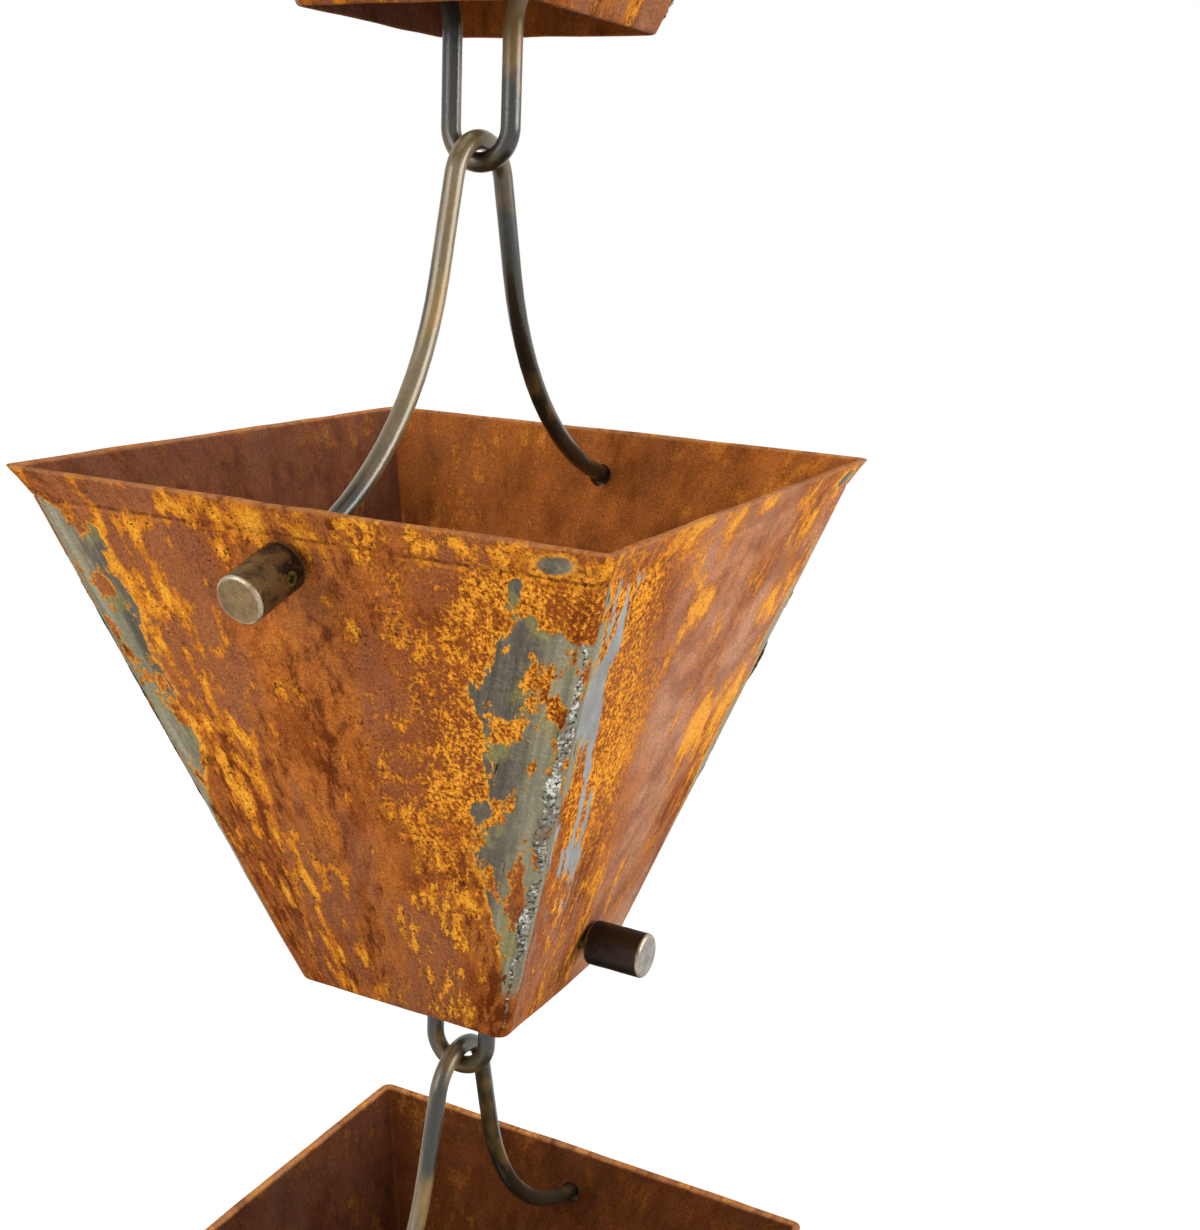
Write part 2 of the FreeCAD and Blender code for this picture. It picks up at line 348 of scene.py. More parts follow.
# Shares of dust on the walls, of painted shade inside the cups, for the shade that the cup above casts, and
# of weld metal left on the corners, taken in turn
DUST = np.array([0.35, 0.6, 0.27, 0.85])
IN_SHADE = np.array([0.1, 0.1, 0.0, 0.9, 0.6])
SEAM = np.array([0.6, 0.25, 1.0, 0.3])

# Grid of a bead, and the lengths over which it swells, wanders, starts and runs out
BEAD_STEP = 0.42 * MM
BEAD_COLUMNS = 16
BEAD_SWELL, BEAD_WANDER = 6 * MM, 4 * MM
BEAD_START, BEAD_END = 16 * MM, 46 * MM

# Grid of a rod, the sizes of its unevenness, and the painted shade that darkens the rods: a hanger's
# share rises along its length, from its front leg to its back one
ROD_COLUMNS = 28
RUN_STEP, ARC_STEP = 1.6 * MM, math.radians(4)
ROD_WAVES = 7 * MM, 2 * MM
RING_SHADE, LINK_SHADE = 0.5, 1.3
HANGER_SHADE = 0.35, 0.65

# Grid of a cap, the radius that stands for its axis, how far the ring inside the screw's hole moves out and
# the hole's floor lies off the bore, the sizes of knocks and saw marks, and the film on the caps of links
CAP_COLUMNS = 72
BARREL_ROWS = 12
AXIS_RADIUS = 0.01 * MM
STEEPEN = 1.48
SCREW_FLOOR = 0.02 * MM
KNOCK_SIZE = 1.7 * MM
SAW_SIZE, SAW_DEPTH = 0.8 * MM, 0.04 * MM
LINK_CAP_BLACK = 0.9


def rim_centre(number):
    """Middle of a cup's rim, its height taken from the frame."""
    return np.array([0, 0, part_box("cup_%d" % number)[1].z])


def wall_slope(cup):
    """Tangent of the wall's lean from upright."""
    return (cup.rim_side / 2 - cup.lip_flare - cup.bottom_side / 2) / cup.height


def wall_half(cup, z):
    """Half the outside width of the leaning walls at a height z below the rim."""
    return cup.bottom_side / 2 + (z + cup.height) * wall_slope(cup)


def section_half(cup, z, inset):
    """Half width of the cup's section, moved in by a share of the sheet: the larger of the wall's line
    and the lip's line, with the crease softened by a hyperbola."""
    slope = wall_slope(cup)
    lip_slope = slope + cup.lip_flare / cup.lip_height
    wall = wall_half(cup, z) - inset * math.hypot(1, slope)
    lip = cup.rim_side / 2 + z * lip_slope - inset * math.hypot(1, lip_slope)
    return (wall + lip + np.sqrt((wall - lip) ** 2 + cup.crease_softness ** 2)) / 2


def hole_heights(cup):
    """Heights of the hanger holes and the link holes on the outside of the walls."""
    return -cup.hanger_hole_drop, cup.link_hole_up + cup.seat_shift - cup.height


def wall_columns(cup, hole_z):
    """Places across one wall from -1 to 1, close together at both corners and at the hole in its middle."""
    flat = cup.rim_side / 2 - cup.corner_radius
    narrowing = (wall_half(cup, hole_z) - cup.corner_radius) / flat
    fine = BLOCK_CELLS * HOLE_CELL / narrowing
    places = np.concatenate([
        np.linspace(0, fine, BLOCK_CELLS + 1),
        np.linspace(fine, flat - CORNER_ZONE, WALL_COLUMNS)[1:],
        np.linspace(flat - CORNER_ZONE, flat, CORNER_COLUMNS)[1:],
    ]) / flat
    return np.concatenate([-places[:0:-1], places])


def wall_rows(cup):
    """Heights of the rows from the rim to the bottom, close together at the crease and the holes."""
    reach = BLOCK_CELLS * HOLE_CELL / math.hypot(1, wall_slope(cup))
    upper, lower = hole_heights(cup)
    crease = -cup.lip_height
    return np.concatenate([
        np.linspace(-cup.edge_radius, crease + LIP_END, LIP_ROWS),
        np.linspace(crease + CREASE_ZONE, crease - CREASE_ZONE, CREASE_ROWS),
        np.linspace(upper + reach, upper - reach, 2 * BLOCK_CELLS + 1),
        np.linspace(upper - reach, lower + reach, WALL_ROWS)[1:-1],
        np.linspace(lower + reach, lower - reach, 2 * BLOCK_CELLS + 1),
        np.linspace(lower - reach, cup.edge_radius - cup.height, FOOT_ROWS)[1:],
    ])


def cup_section(cup):
    """Closed section of the sheet as half widths and heights: down the outside, round the bottom edge, up
    the inside and over the rim, each cut edge rounded by quarter circles."""
    rows = wall_rows(cup)
    e = cup.edge_radius
    turn = np.radians([30, 60, 90])
    outer_top = section_half(cup, 0.0, 0)
    inner_top = section_half(cup, 0.0, cup.sheet)
    outer_foot = section_half(cup, -cup.height, 0)
    inner_foot = section_half(cup, -cup.height, cup.sheet)
    halves = np.concatenate([
        section_half(cup, rows, 0),
        outer_foot - e * (1 - np.cos(turn)), inner_foot + e * (1 - np.cos(turn[::-1])),
        section_half(cup, rows[::-1], cup.sheet),
        inner_top + e * (1 - np.cos(turn)), outer_top - e * (1 - np.cos(turn[::-1])),
    ])
    heights = np.concatenate([
        rows,
        e * (1 - np.sin(turn)) - cup.height, e * (1 - np.sin(turn[::-1])) - cup.height,
        rows[::-1],
        -e * (1 - np.sin(turn)), -e * (1 - np.sin(turn[::-1])),
    ])
    return halves, heights, len(rows), len(turn) * 2


def plan_columns(cup):
    """For each column round the cup: its wall, its place across it and its turn round the next corner.
    Walls 0 and 2 face along X and hold the link, walls 1 and 3 face along Y and hold the hanger."""
    upper, lower = hole_heights(cup)
    arc = np.linspace(0, math.pi / 2, ARC_COLUMNS + 2)[1:-1]
    walls, places, turns, middles = [], [], [], []
    for wall in range(WALLS):
        across = wall_columns(cup, upper if wall % 2 else lower)
        middles.append(sum(map(len, places)) + len(across) // 2)
        places.append(np.concatenate([across, np.ones(ARC_COLUMNS)]))
        turns.append(np.concatenate([np.zeros(len(across)), arc]))
        walls.append(np.full(len(places[-1]), wall))
    return np.concatenate(walls), np.concatenate(places), np.concatenate(turns), middles


def facing_axes(quarters):
    """Level unit vectors out of a wall or corner and along it, so many quarter turns from +X."""
    turn = quarters * math.pi / 2
    out = np.array([math.cos(turn), math.sin(turn), 0])
    return out, np.array([-out[1], out[0], 0])


def ring_block():
    """Grid steps of a block round a hole, as one row and as a grid down and across; each point's square ring;
    the factor that turns its square ring into a round one of radius 1 at the hole's edge; and its share of
    the plain grid, which rises by 3t^2 - 2t^3 from the hole's edge to the block's."""
    steps = np.arange(-BLOCK_CELLS, BLOCK_CELLS + 1)
    down, across = np.meshgrid(steps, steps, indexing="ij")
    ring = np.maximum(abs(down), abs(across))
    reach = ring / HOLE_CELLS / np.maximum(np.hypot(down, across), 1)
    return steps, down, across, ring, reach, smooth_step(ring, HOLE_CELLS, BLOCK_CELLS)


def hole_block(points, row, middle, sideways, centre, radii, up_wall):
    """Moves a block of the wall's grid so that its middle ring lies on the hole's ellipse. Inside the ring
    the grid shrinks to the centre; outside it, it blends back to the plain grid."""
    steps, down, across, _, reach, plain = ring_block()
    on_hole = (centre + sideways * (radii[0] * reach * across)[..., None]
               + up_wall * (radii[1] * reach * -down)[..., None])
    block = np.ix_(row + steps, middle + steps)
    points[block] = on_hole * (1 - plain[..., None]) + points[block] * plain[..., None]


def hole_rim(row, middle):
    """Rows and columns of the ring of vertices round a hole, anticlockwise as seen from outside."""
    n = HOLE_CELLS
    side = np.arange(-n, n)
    rows = np.concatenate([-side, np.full(2 * n, -n), side, np.full(2 * n, n)]) + row
    columns = np.concatenate([np.full(2 * n, n), -side, np.full(2 * n, -n), side]) + middle
    return rows, columns


def wear_sheet(cup, number, points, across, normals, walls, row_count):
    """Pushes the sheet in along the plan's normal by broad dents and scale, away from the holes, and by the
    pressed line under the lip, whose depth falls off as exp(-(z / width)^2), and makes the cut edges
    uneven."""
    upper, lower = hole_heights(cup)
    from_hole = np.hypot(across, points[..., 2] - np.where(walls % 2, upper, lower))
    shifted = points + np.array([0, 0, number * CUP_SHIFT])
    lowered = value_noise(shifted, DENT_SIZE, number) * 0.5 + 0.5
    coarse, fine = SCALE_SIZES
    scaly = value_noise(shifted, coarse, number + 20) * 0.6 + value_noise(shifted, fine, number + 40) * 0.4
    push = smooth_step(from_hole, *FLAT_ZONE) * (cup.dent * lowered + cup.scale_relief * (scaly + 1))
    off_line = points[:row_count, :, 2] + cup.lip_height
    push[:row_count] += cup.groove * np.exp(-(off_line / GROOVE_WIDTH) ** 2)
    points -= normals * push[..., None]
    ragged = value_noise(shifted, RAGGED_SIZE, number + 60) * 0.5 + 0.5
    at_rim = smooth_step(points[..., 2], -RAGGED_ZONE, 0)
    at_foot = smooth_step(-points[..., 2], cup.height - RAGGED_ZONE, cup.height)
    points[..., 2] += (at_foot - at_rim) * ragged * RAGGED_DEPTH


def cut_holes(cup, points, middles, row_count, edge_count):
    """Shapes the grid to a hole in each wall, on both sides of the sheet, and returns the faces: those
    outside the holes and a band through the sheet round each hole."""
    columns = points.shape[1]
    faces = grid_faces(len(points), columns, True, True)
    keep = np.ones(faces.shape[:2], bool)
    bands = []
    slope = wall_slope(cup)
    tilt = math.atan(slope)
    up = np.array([0, 0, 1.0])
    flipped = points[::-1]
    for wall, middle in enumerate(middles):
        is_hanger = wall % 2 == 1
        z = hole_heights(cup)[0 if is_hanger else 1]
        row = int(np.argmin(abs(wall_rows(cup) - z)))
        inner_row = 2 * row_count + edge_count - 1 - row
        out, sideways = facing_axes(wall)
        up_wall = out * math.sin(tilt) + up * math.cos(tilt)
        through = out * math.cos(tilt) - up * math.sin(tilt) if is_hanger else out
        # A level hole through a leaning wall is longer, and taller on its surface
        slant = 1 if is_hanger else math.hypot(1, slope)
        radii = (cup.hole / 2, cup.hole / 2 * slant)
        centre = out * wall_half(cup, z) + up * z
        inner_centre = centre - through * (cup.sheet * slant)
        hole_block(points, row, middle, sideways, centre, radii, up_wall)
        hole_block(flipped, len(points) - 1 - inner_row, middle, sideways, inner_centre, radii, up_wall)
        for hole_row in (row, inner_row):
            keep[hole_row - HOLE_CELLS:hole_row + HOLE_CELLS, middle - HOLE_CELLS:middle + HOLE_CELLS] = False
        rim_rows, rim_columns = hole_rim(row, middle)
        outer = rim_rows * columns + rim_columns
        inner = (2 * row_count + edge_count - 1 - rim_rows) * columns + rim_columns
        bands.append(np.stack([outer, np.roll(outer, -1), np.roll(inner, -1), inner], axis=-1))
    return np.concatenate([faces[keep]] + bands)


def cup_surface(cup, number):
    """Closed surface of one cup on a grid: the sheet's closed section carried round a square plan with
    rounded corners. A column at place w and turn t lies (h - r) + r cos t out from the axis and
    w (h - r) + r sin t across, where h is the section's half width and r its corner radius. Points that
    the holes leave unused are dropped."""
    halves, heights, row_count, edge_count = cup_section(cup)
    walls, places, turns, middles = plan_columns(cup)
    radii = np.maximum(cup.corner_radius - (section_half(cup, heights, 0) - halves), LEAST_RADIUS)
    h, r = halves[:, None], radii[:, None]
    outward = (h - r) + r * np.cos(turns)
    across = places * (h - r) + r * np.sin(turns)
    facing = walls * math.pi / 2
    points = np.stack([
        outward * np.cos(facing) - across * np.sin(facing),
        outward * np.sin(facing) + across * np.cos(facing),
        np.broadcast_to(heights[:, None], outward.shape),
    ], axis=-1)
    normals = np.stack([np.cos(facing + turns), np.sin(facing + turns), np.zeros(len(turns))], axis=-1)
    wear_sheet(cup, number, points, across, normals, walls, row_count)
    faces = cut_holes(cup, points, middles, row_count, edge_count)

    used = np.zeros(outward.size, bool)
    used[faces.ravel()] = True
    renumber = np.cumsum(used) - 1
    round_about = turns * cup.corner_radius
    corner = (1 - abs(places)) * (h - r)
    inside = np.zeros((len(halves), 1))
    inside[row_count + edge_count // 2:2 * row_count + edge_count] = 1
    layer = walls * WALL_LAYER + number * CUP_LAYER
    single = {
        "corner_mm": corner / MM, "below_mm": -points[..., 2] / MM, "inside": inside, "across": places,
        "dust": DUST[(walls + 2 * number + 1) % WALLS], "in_shade": IN_SHADE[(number - 1) % len(IN_SHADE)],
    }
    fields = {key: np.broadcast_to(values, outward.shape).ravel()[used] for key, values in single.items()}
    for key, place in (("sheet_place", places * (cup.rim_side / 2 - cup.corner_radius) + round_about),
                       ("corner_place", corner * np.sign(places) - round_about)):
        vectors = np.stack(np.broadcast_arrays(place, points[..., 2], layer), axis=-1)
        fields[key] = vectors.reshape(-1, 3)[used]
    return points.reshape(-1, 3)[used], (renumber[faces],), fields


def weld_beads(cup, weld, number):
    """Four closed beads down the corners of one cup. Each is an ellipse carried down the corner's line, its
    half width and height modulated along the line by ripples and slow noise, so that it sinks under
    the sheet where the weld was ground away, and grains are added along the ellipse's own direction."""
    z = np.arange(-weld.from_rim, weld.from_foot - cup.height, -BEAD_STEP)
    turn = np.linspace(0, 2 * math.pi, BEAD_COLUMNS, endpoint=False)
    half = section_half(cup, z, 0)
    tip = half - cup.corner_radius * (1 - math.sqrt(0.5))
    points, quads, fans = [], [], []
    for corner in range(WALLS):
        out, side = facing_axes(corner + 0.5)
        line = out * (tip * math.sqrt(2))[:, None] + np.array([0, 0, 1]) * z[:, None]
        along = np.stack(np.broadcast_arrays(corner * CORNER_BEAD, z, number * CUP_BEAD), axis=-1)
        slow = value_noise(along, BEAD_SWELL, 3) * 0.5 + 0.5
        ripple = value_noise(along, weld.lump, 5)
        full = (smooth_step(-z, weld.from_rim, weld.from_rim + BEAD_START)
                * smooth_step(cup.height + z, weld.from_foot, weld.from_foot + BEAD_END))
        kept = SEAM[(corner + number) % WALLS]
        width = weld.half_width * (0.5 + 0.9 * slow + 0.4 * ripple) * (0.15 + 0.85 * full)
        width = width * (0.4 + 0.6 * kept)
        height = weld.height * (0.1 + 1.1 * slow + 0.2 * ripple) * (0.2 + 0.8 * full) * kept
        wander = (value_noise(along, BEAD_WANDER, 9) * 0.65 - 0.25) * MM
        middle = line - out * weld.sunk + side * wander[:, None]
        ring = (side * (width[:, None] * np.cos(turn))[..., None]
                + out * (height[:, None] * np.sin(turn))[..., None])
        surface = middle[:, None] + ring
        grains = value_noise(surface + number, weld.grit, 11) + 0.5 * value_noise(surface, weld.grit / 2, 13)
        unit = ring / np.linalg.norm(ring, axis=-1, keepdims=True)
        surface = surface + unit * (grains * weld.grit_depth * kept)[..., None]
        offset = sum(map(len, points))
        tube, (sides, ends) = closed_tube(surface)
        points.append(tube)
        quads.append(sides + offset)
        fans.append(ends + offset)
    return np.concatenate(points), (np.concatenate(quads), np.concatenate(fans))


def rounded_path(corners, radii, closed=False):
    """Points along straight runs through the corners, each bend replaced by a tangent arc of its radius:
    the arc's points are its centre plus cos and sin of the turn times its two unit directions."""
    least_gap, same_point = 0.1 * MM, 1e-7
    stops = []
    count = len(corners)
    for index in range(count):
        corner = corners[index]
        if not closed and index in (0, count - 1):
            stops.append(corner[None])
            continue
        back = corners[index - 1] - corner
        ahead = corners[(index + 1) % count] - corner
        back = back / np.linalg.norm(back)
        ahead = ahead / np.linalg.norm(ahead)
        half_angle = math.acos(np.clip(back @ ahead, -1, 1)) / 2
        inward = (back + ahead) / np.linalg.norm(back + ahead)
        centre = corner + inward * radii[index] / math.sin(half_angle)
        first = corner + back * radii[index] / math.tan(half_angle) - centre
        sweep = math.pi - 2 * half_angle
        turn = np.linspace(0, sweep, max(int(sweep / ARC_STEP), 3))[:, None]
        stops.append(centre + first * np.cos(turn) - back * radii[index] * np.sin(turn))
    path = []
    for index, stop in enumerate(stops):
        path.append(stop)
        following = stops[(index + 1) % count]
        if index == count - 1 and not closed:
            break
        gap = np.linalg.norm(following[0] - stop[-1])
        shares = np.linspace(0, 1, max(int(gap / RUN_STEP), 2) + 1)[1:-1, None]
        if gap > least_gap:
            path.append(stop[-1] * (1 - shares) + following[0] * shares)
    points = np.concatenate(path)
    apart = np.linalg.norm(points - np.roll(points, 1, axis=0), axis=1) > same_point
    return points[apart]


def rod_rings(path, flat_normal, rod, seed, closed=False):
    """Rings of a round rod along a flat path: at each point a circle in the plane of the path's own normal
    and the flat's normal, its radius wandering with a slow noise along and round the rod."""
    if closed:
        ahead = np.roll(path, -1, axis=0) - np.roll(path, 1, axis=0)
    else:
        ahead = np.gradient(path, axis=0)
    ahead /= np.linalg.norm(ahead, axis=1, keepdims=True)
    sideways = np.cross(flat_normal, ahead)
    turn = np.linspace(0, 2 * math.pi, ROD_COLUMNS, endpoint=False)
    circle = sideways[:, None] * np.cos(turn)[:, None] + flat_normal * np.sin(turn)[:, None]
    radius = rod.diameter / 2
    surface = path[:, None] + circle * radius
    broad, fine = ROD_WAVES
    wander = value_noise(surface + seed, broad, seed) * 0.6 + value_noise(surface, fine, seed + 1) * 0.4
    surface = surface - circle * (radius * rod.unevenness * (1 + wander))[..., None]
    steps = np.linalg.norm(np.diff(path, axis=0), axis=1)
    travelled = np.concatenate([[0], np.cumsum(steps)])
    place = np.stack(np.broadcast_arrays(travelled[:, None], turn * radius, seed * 0.7), axis=-1)
    return surface, place


def hanger_end(cup):
    """Hole centre line of a hanger end in the plane of Y and Z: its axis point and its way out."""
    tilt = math.atan(wall_slope(cup))
    outward = np.array([math.cos(tilt), -math.sin(tilt)])
    up_wall = np.array([math.sin(tilt), math.cos(tilt)])
    z = -cup.hanger_hole_drop
    surface = np.array([wall_half(cup, z), z])
    return surface - outward * cup.sheet / 2 + up_wall * cup.seat_shift, outward


def link_end(cup):
    """Axis point of a link end at the outside of its wall, in the plane of X and Z, and its way out."""
    z = cup.link_hole_up - cup.height
    return np.array([wall_half(cup, z), z]), np.array([1.0, 0.0])


def link_standoff(cup, cap):
    """How far a level cap's mouth stands off the leaning wall at its axis."""
    return (cap.diameter / 2 - cap.chamfer) * wall_slope(cup) + cap.link_gap


def hanger_path(cup, rod, cap):
    """Middle line of a hanger in the plane of X = 0: from one capped tip over the loop to the other."""
    axis, outward = hanger_end(cup)
    cos_lean, sin_lean = math.cos(rod.leg_lean), math.sin(rod.leg_lean)
    apex = np.array([0, rod.hanger_rise - rod.loop_radius + rod.loop_radius / sin_lean])
    spread = outward @ np.array([cos_lean, sin_lean])
    inward = (axis[0] * cos_lean - (apex[1] - axis[1]) * sin_lean) / spread
    knee = axis - outward * inward
    tip = axis + outward * (cup.sheet / 2 + cap.hanger_gap + cap.bore_depth - cap.end_gap)
    mirror = np.array([-1, 1])
    flat = np.array([tip * mirror, knee * mirror, apex, knee, tip])
    corners = np.stack([np.zeros(len(flat)), flat[:, 0], flat[:, 1]], axis=-1)
    return rounded_path(corners, [0, rod.flare_radius, rod.loop_radius, rod.flare_radius, 0])


def link_path(cup, rod, cap):
    """Middle line of a link in the plane of Y = 0: a level end, a bend down, the U and back up."""
    axis, outward = link_end(cup)
    tip = axis + outward * (link_standoff(cup, cap) + cap.bore_depth - cap.end_gap)
    bend = np.array([rod.u_half_width, axis[1]])
    foot = np.array([rod.u_half_width, -cup.height - rod.link_drop])
    mirror = np.array([-1, 1])
    flat = np.array([tip, bend, foot, foot * mirror, bend * mirror, tip * mirror])
    corners = np.stack([flat[:, 0], np.zeros(len(flat)), flat[:, 1]], axis=-1)
    radii = [0, rod.link_bend, rod.u_half_width, rod.u_half_width, rod.link_bend, 0]
    return rounded_path(corners, radii)


def ring_path(rod):
    """Middle line of the closed top ring: a tall oval inside the box of its frame node."""
    half = rod.ring_half_width
    top = RING_HIGH.z - rod.diameter / 2
    foot = RING_LOW.z + rod.diameter / 2
    corners = np.array([[half, 0, top], [half, 0, foot], [-half, 0, foot], [-half, 0, top]])
    return rounded_path(corners, [half] * len(corners), closed=True)


def cap_profile(cap):
    """Outline of a cap as distances along its axis and from it, with the wear that each point shows: the
    bore's end, the bore, the mouth, the barrel between two broken edges, and the sawn face."""
    r = cap.diameter / 2
    c = cap.chamfer
    cells = np.linspace(-BLOCK_CELLS, BLOCK_CELLS, 2 * BLOCK_CELLS + 1)
    barrel = cap.screw_place + cells * cap.diameter * math.pi / CAP_COLUMNS
    rest = np.linspace(barrel[-1], cap.length - c, BARREL_ROWS)[1:-1]
    mouth = (
        (cap.bore_depth, AXIS_RADIUS, 0), (cap.bore_depth, cap.bore / 2, 0), (0, cap.bore / 2, 0),
        (0, r - c, 0.3), (0.3 * c, r - 0.45 * c, 1), (c, r, 0.4), (1.4 * c, r, 0),
    )
    face = (
        (cap.length - 1.35 * c, r, 0), (cap.length - c, r, 0.7), (cap.length - 0.65 * c, r - 0.16 * c, 1),
        (cap.length - 0.25 * c, r - 0.55 * c, 0.9), (cap.length, r - c, 0.35), (cap.length, r - 1.25 * c, 0),
        (cap.length, 0.6 * r, 0), (cap.length, 0.3 * r, 0), (cap.length, AXIS_RADIUS, 0),
    )
    middle = ((x, r, 0) for x in (*barrel, *rest))
    return np.array([*mouth, *middle, *face]), len(mouth) + BLOCK_CELLS


def cap_surface(cap, mouth, outward, screw_side, black, seed):
    """Closed surface of a cap: its outline turned about its axis. A ringed block of the grid is shaped to
    the screw's hole and lowered inside the ring, and small knocks push the barrel in."""
    profile, screw_row = cap_profile(cap)
    sideways = np.cross(screw_side, outward)
    turn = np.linspace(-math.pi, math.pi, CAP_COLUMNS, endpoint=False)
    middle = CAP_COLUMNS // 2
    along = np.repeat(profile[:, :1], CAP_COLUMNS, axis=1)
    radius = np.repeat(profile[:, 1:2], CAP_COLUMNS, axis=1)
    turns = np.repeat(turn[None], len(profile), axis=0)

    steps, ahead, across, ring, reach, plain = ring_block()
    # The ring inside the edge moves out to it, so that the hole's wall is steep
    reach = cap.screw_hole / 2 * np.where(ring == HOLE_CELLS - 1, reach * STEEPEN, reach)
    block = np.ix_(screw_row + steps, middle + steps)
    r = cap.diameter / 2
    along[block] = (cap.screw_place + reach * ahead) * (1 - plain) + along[block] * plain
    turns[block] = np.arcsin(np.clip(reach * across / r, -1, 1)) * (1 - plain) + turns[block] * plain
    radius[block] = np.where(ring < HOLE_CELLS, cap.bore / 2 + SCREW_FLOOR, radius[block])

    barrel = smooth_step(profile[:, 1], r - 0.1 * MM, r)[:, None]
    local = np.stack([along, radius * np.cos(turns), radius * np.sin(turns)], axis=-1)
    knocks = value_noise(local + seed, KNOCK_SIZE, seed) * 0.5 + 0.5
    solid = np.ones(radius.shape)
    solid[block] = plain
    radius = radius - cap.wear * knocks * barrel * solid
    saw = value_noise(local * np.array([1, 1, 0.12]) + seed, SAW_SIZE, seed + 3)
    along = along + np.where(profile[:, :1] >= cap.length - 1e-6, -SAW_DEPTH * (saw * 0.5 + 0.5), 0)
    points = (mouth + outward * along[..., None] + screw_side * (radius * np.cos(turns))[..., None]
              + sideways * (radius * np.sin(turns))[..., None])
    mesh_points, faces = closed_tube(points[::-1])
    tail = np.zeros(2)
    face_part = smooth_step(profile[:, 0], cap.length - 0.05 * MM, cap.length)
    fields = {
        "worn": np.concatenate([np.repeat(profile[::-1, 2], CAP_COLUMNS), tail]),
        "black": np.full(len(mesh_points), black),
        "sawn": np.concatenate([np.repeat(face_part[::-1], CAP_COLUMNS), tail + np.array([1, 0])]),
        "bar_place": np.concatenate([
            np.stack([along, turns * r, np.full(along.shape, seed)], axis=-1)[::-1].reshape(-1, 3),
            np.array([[cap.length, 0, seed], [cap.bore_depth, 0, seed]]),
        ]),
    }
    return mesh_points, faces, fields


# Materials

SOFT = {"interpolation_type": "SMOOTHSTEP"}
RGBA = {"data_type": "RGBA"}
TIMES = {"operation": "MULTIPLY"}
WEIGHED = {"operation": "MULTIPLY_ADD"}
WHITE = (1, 1, 1, 1)


def add_node(tree, kind, *values, output=None, **settings):
    """Adds one shader node. Its open inputs take the values in order; values left over go on, after this
    node's result, into another node of the same kind. A keyword with a capital fills the input of that
    name and any other sets a field. Returns the named output, or else the first open one."""
    node = tree.nodes.new("ShaderNode" + kind)
    for field in filter(str.islower, settings):
        setattr(node, field, settings[field])
    open_inputs = [socket for socket in node.inputs if socket.enabled]
    filled = list(zip(open_inputs, values))
    filled += [(node.inputs[key.replace("_", " ")], settings[key]) for key in settings if not key.islower()]
    for socket, value in filled:
        if isinstance(value, bpy.types.NodeSocket):
            tree.links.new(value, socket)
        else:
            socket.default_value = value
    result = node.outputs[output] if output else next((end for end in node.outputs if end.enabled), None)
    rest = values[len(open_inputs):]
    return add_node(tree, kind, result, *rest, **settings) if rest else result


def new_material(name):
    """A material with an empty node tree, and the function that adds nodes to it."""
    material = bpy.data.materials.get(name) or bpy.data.materials.new(name)
    material.use_nodes = True
    material.node_tree.nodes.clear()
    return material, partial(add_node, material.node_tree)


def surface_noise(add, place, wide, long, detail, roughness=0.5):
    """Noise that follows the place on a surface, with blotches of a width and a length in millimetres."""
    vector = add("VectorMath", place, (1 / (wide * MM), 1 / (long * MM), 1), **TIMES)
    return add("TexNoise", Vector=vector, Scale=1, Detail=detail, Roughness=roughness)


def tinted(add, base, *layers):
    """Lays tints over a base colour in turn, each by the share that its source has gone from a first to a
    second value, and at most by the share given."""
    for source, first, second, most, tint in layers:
        share = add("MapRange", source, first, second, 0, most, **SOFT)
        base = add("Mix", share, base, tint, **RGBA)
    return base


def shaded(add, base, *shades):
    """Scales a colour in turn by factors that go from one value to another as their sources do: each shade
    gives its source, the source's two values and the factor's."""
    factors = [add("MapRange", *shade) for shade in shades]
    return add("VectorMath", base, *factors, operation="SCALE")


def finished(material, add, strength, depth, height, **look):
    """Ends a material with one shader of the given look, its surface raised by a height up to a depth in
    millimetres."""
    bump = add("Bump", Strength=strength, Distance=depth * MM, Height=height)
    shader = add("BsdfPrincipled", Normal=bump, **look)
    add("OutputMaterial", shader)
    return material


def seen_directly(add):
    """1 for the rays that see the white background: the camera's and those from gloss and glass."""
    rays = [add("LightPath", output="Is %s Ray" % kind) for kind in ("Camera", "Glossy", "Transmission")]
    return add("Math", *rays, operation="MAXIMUM")


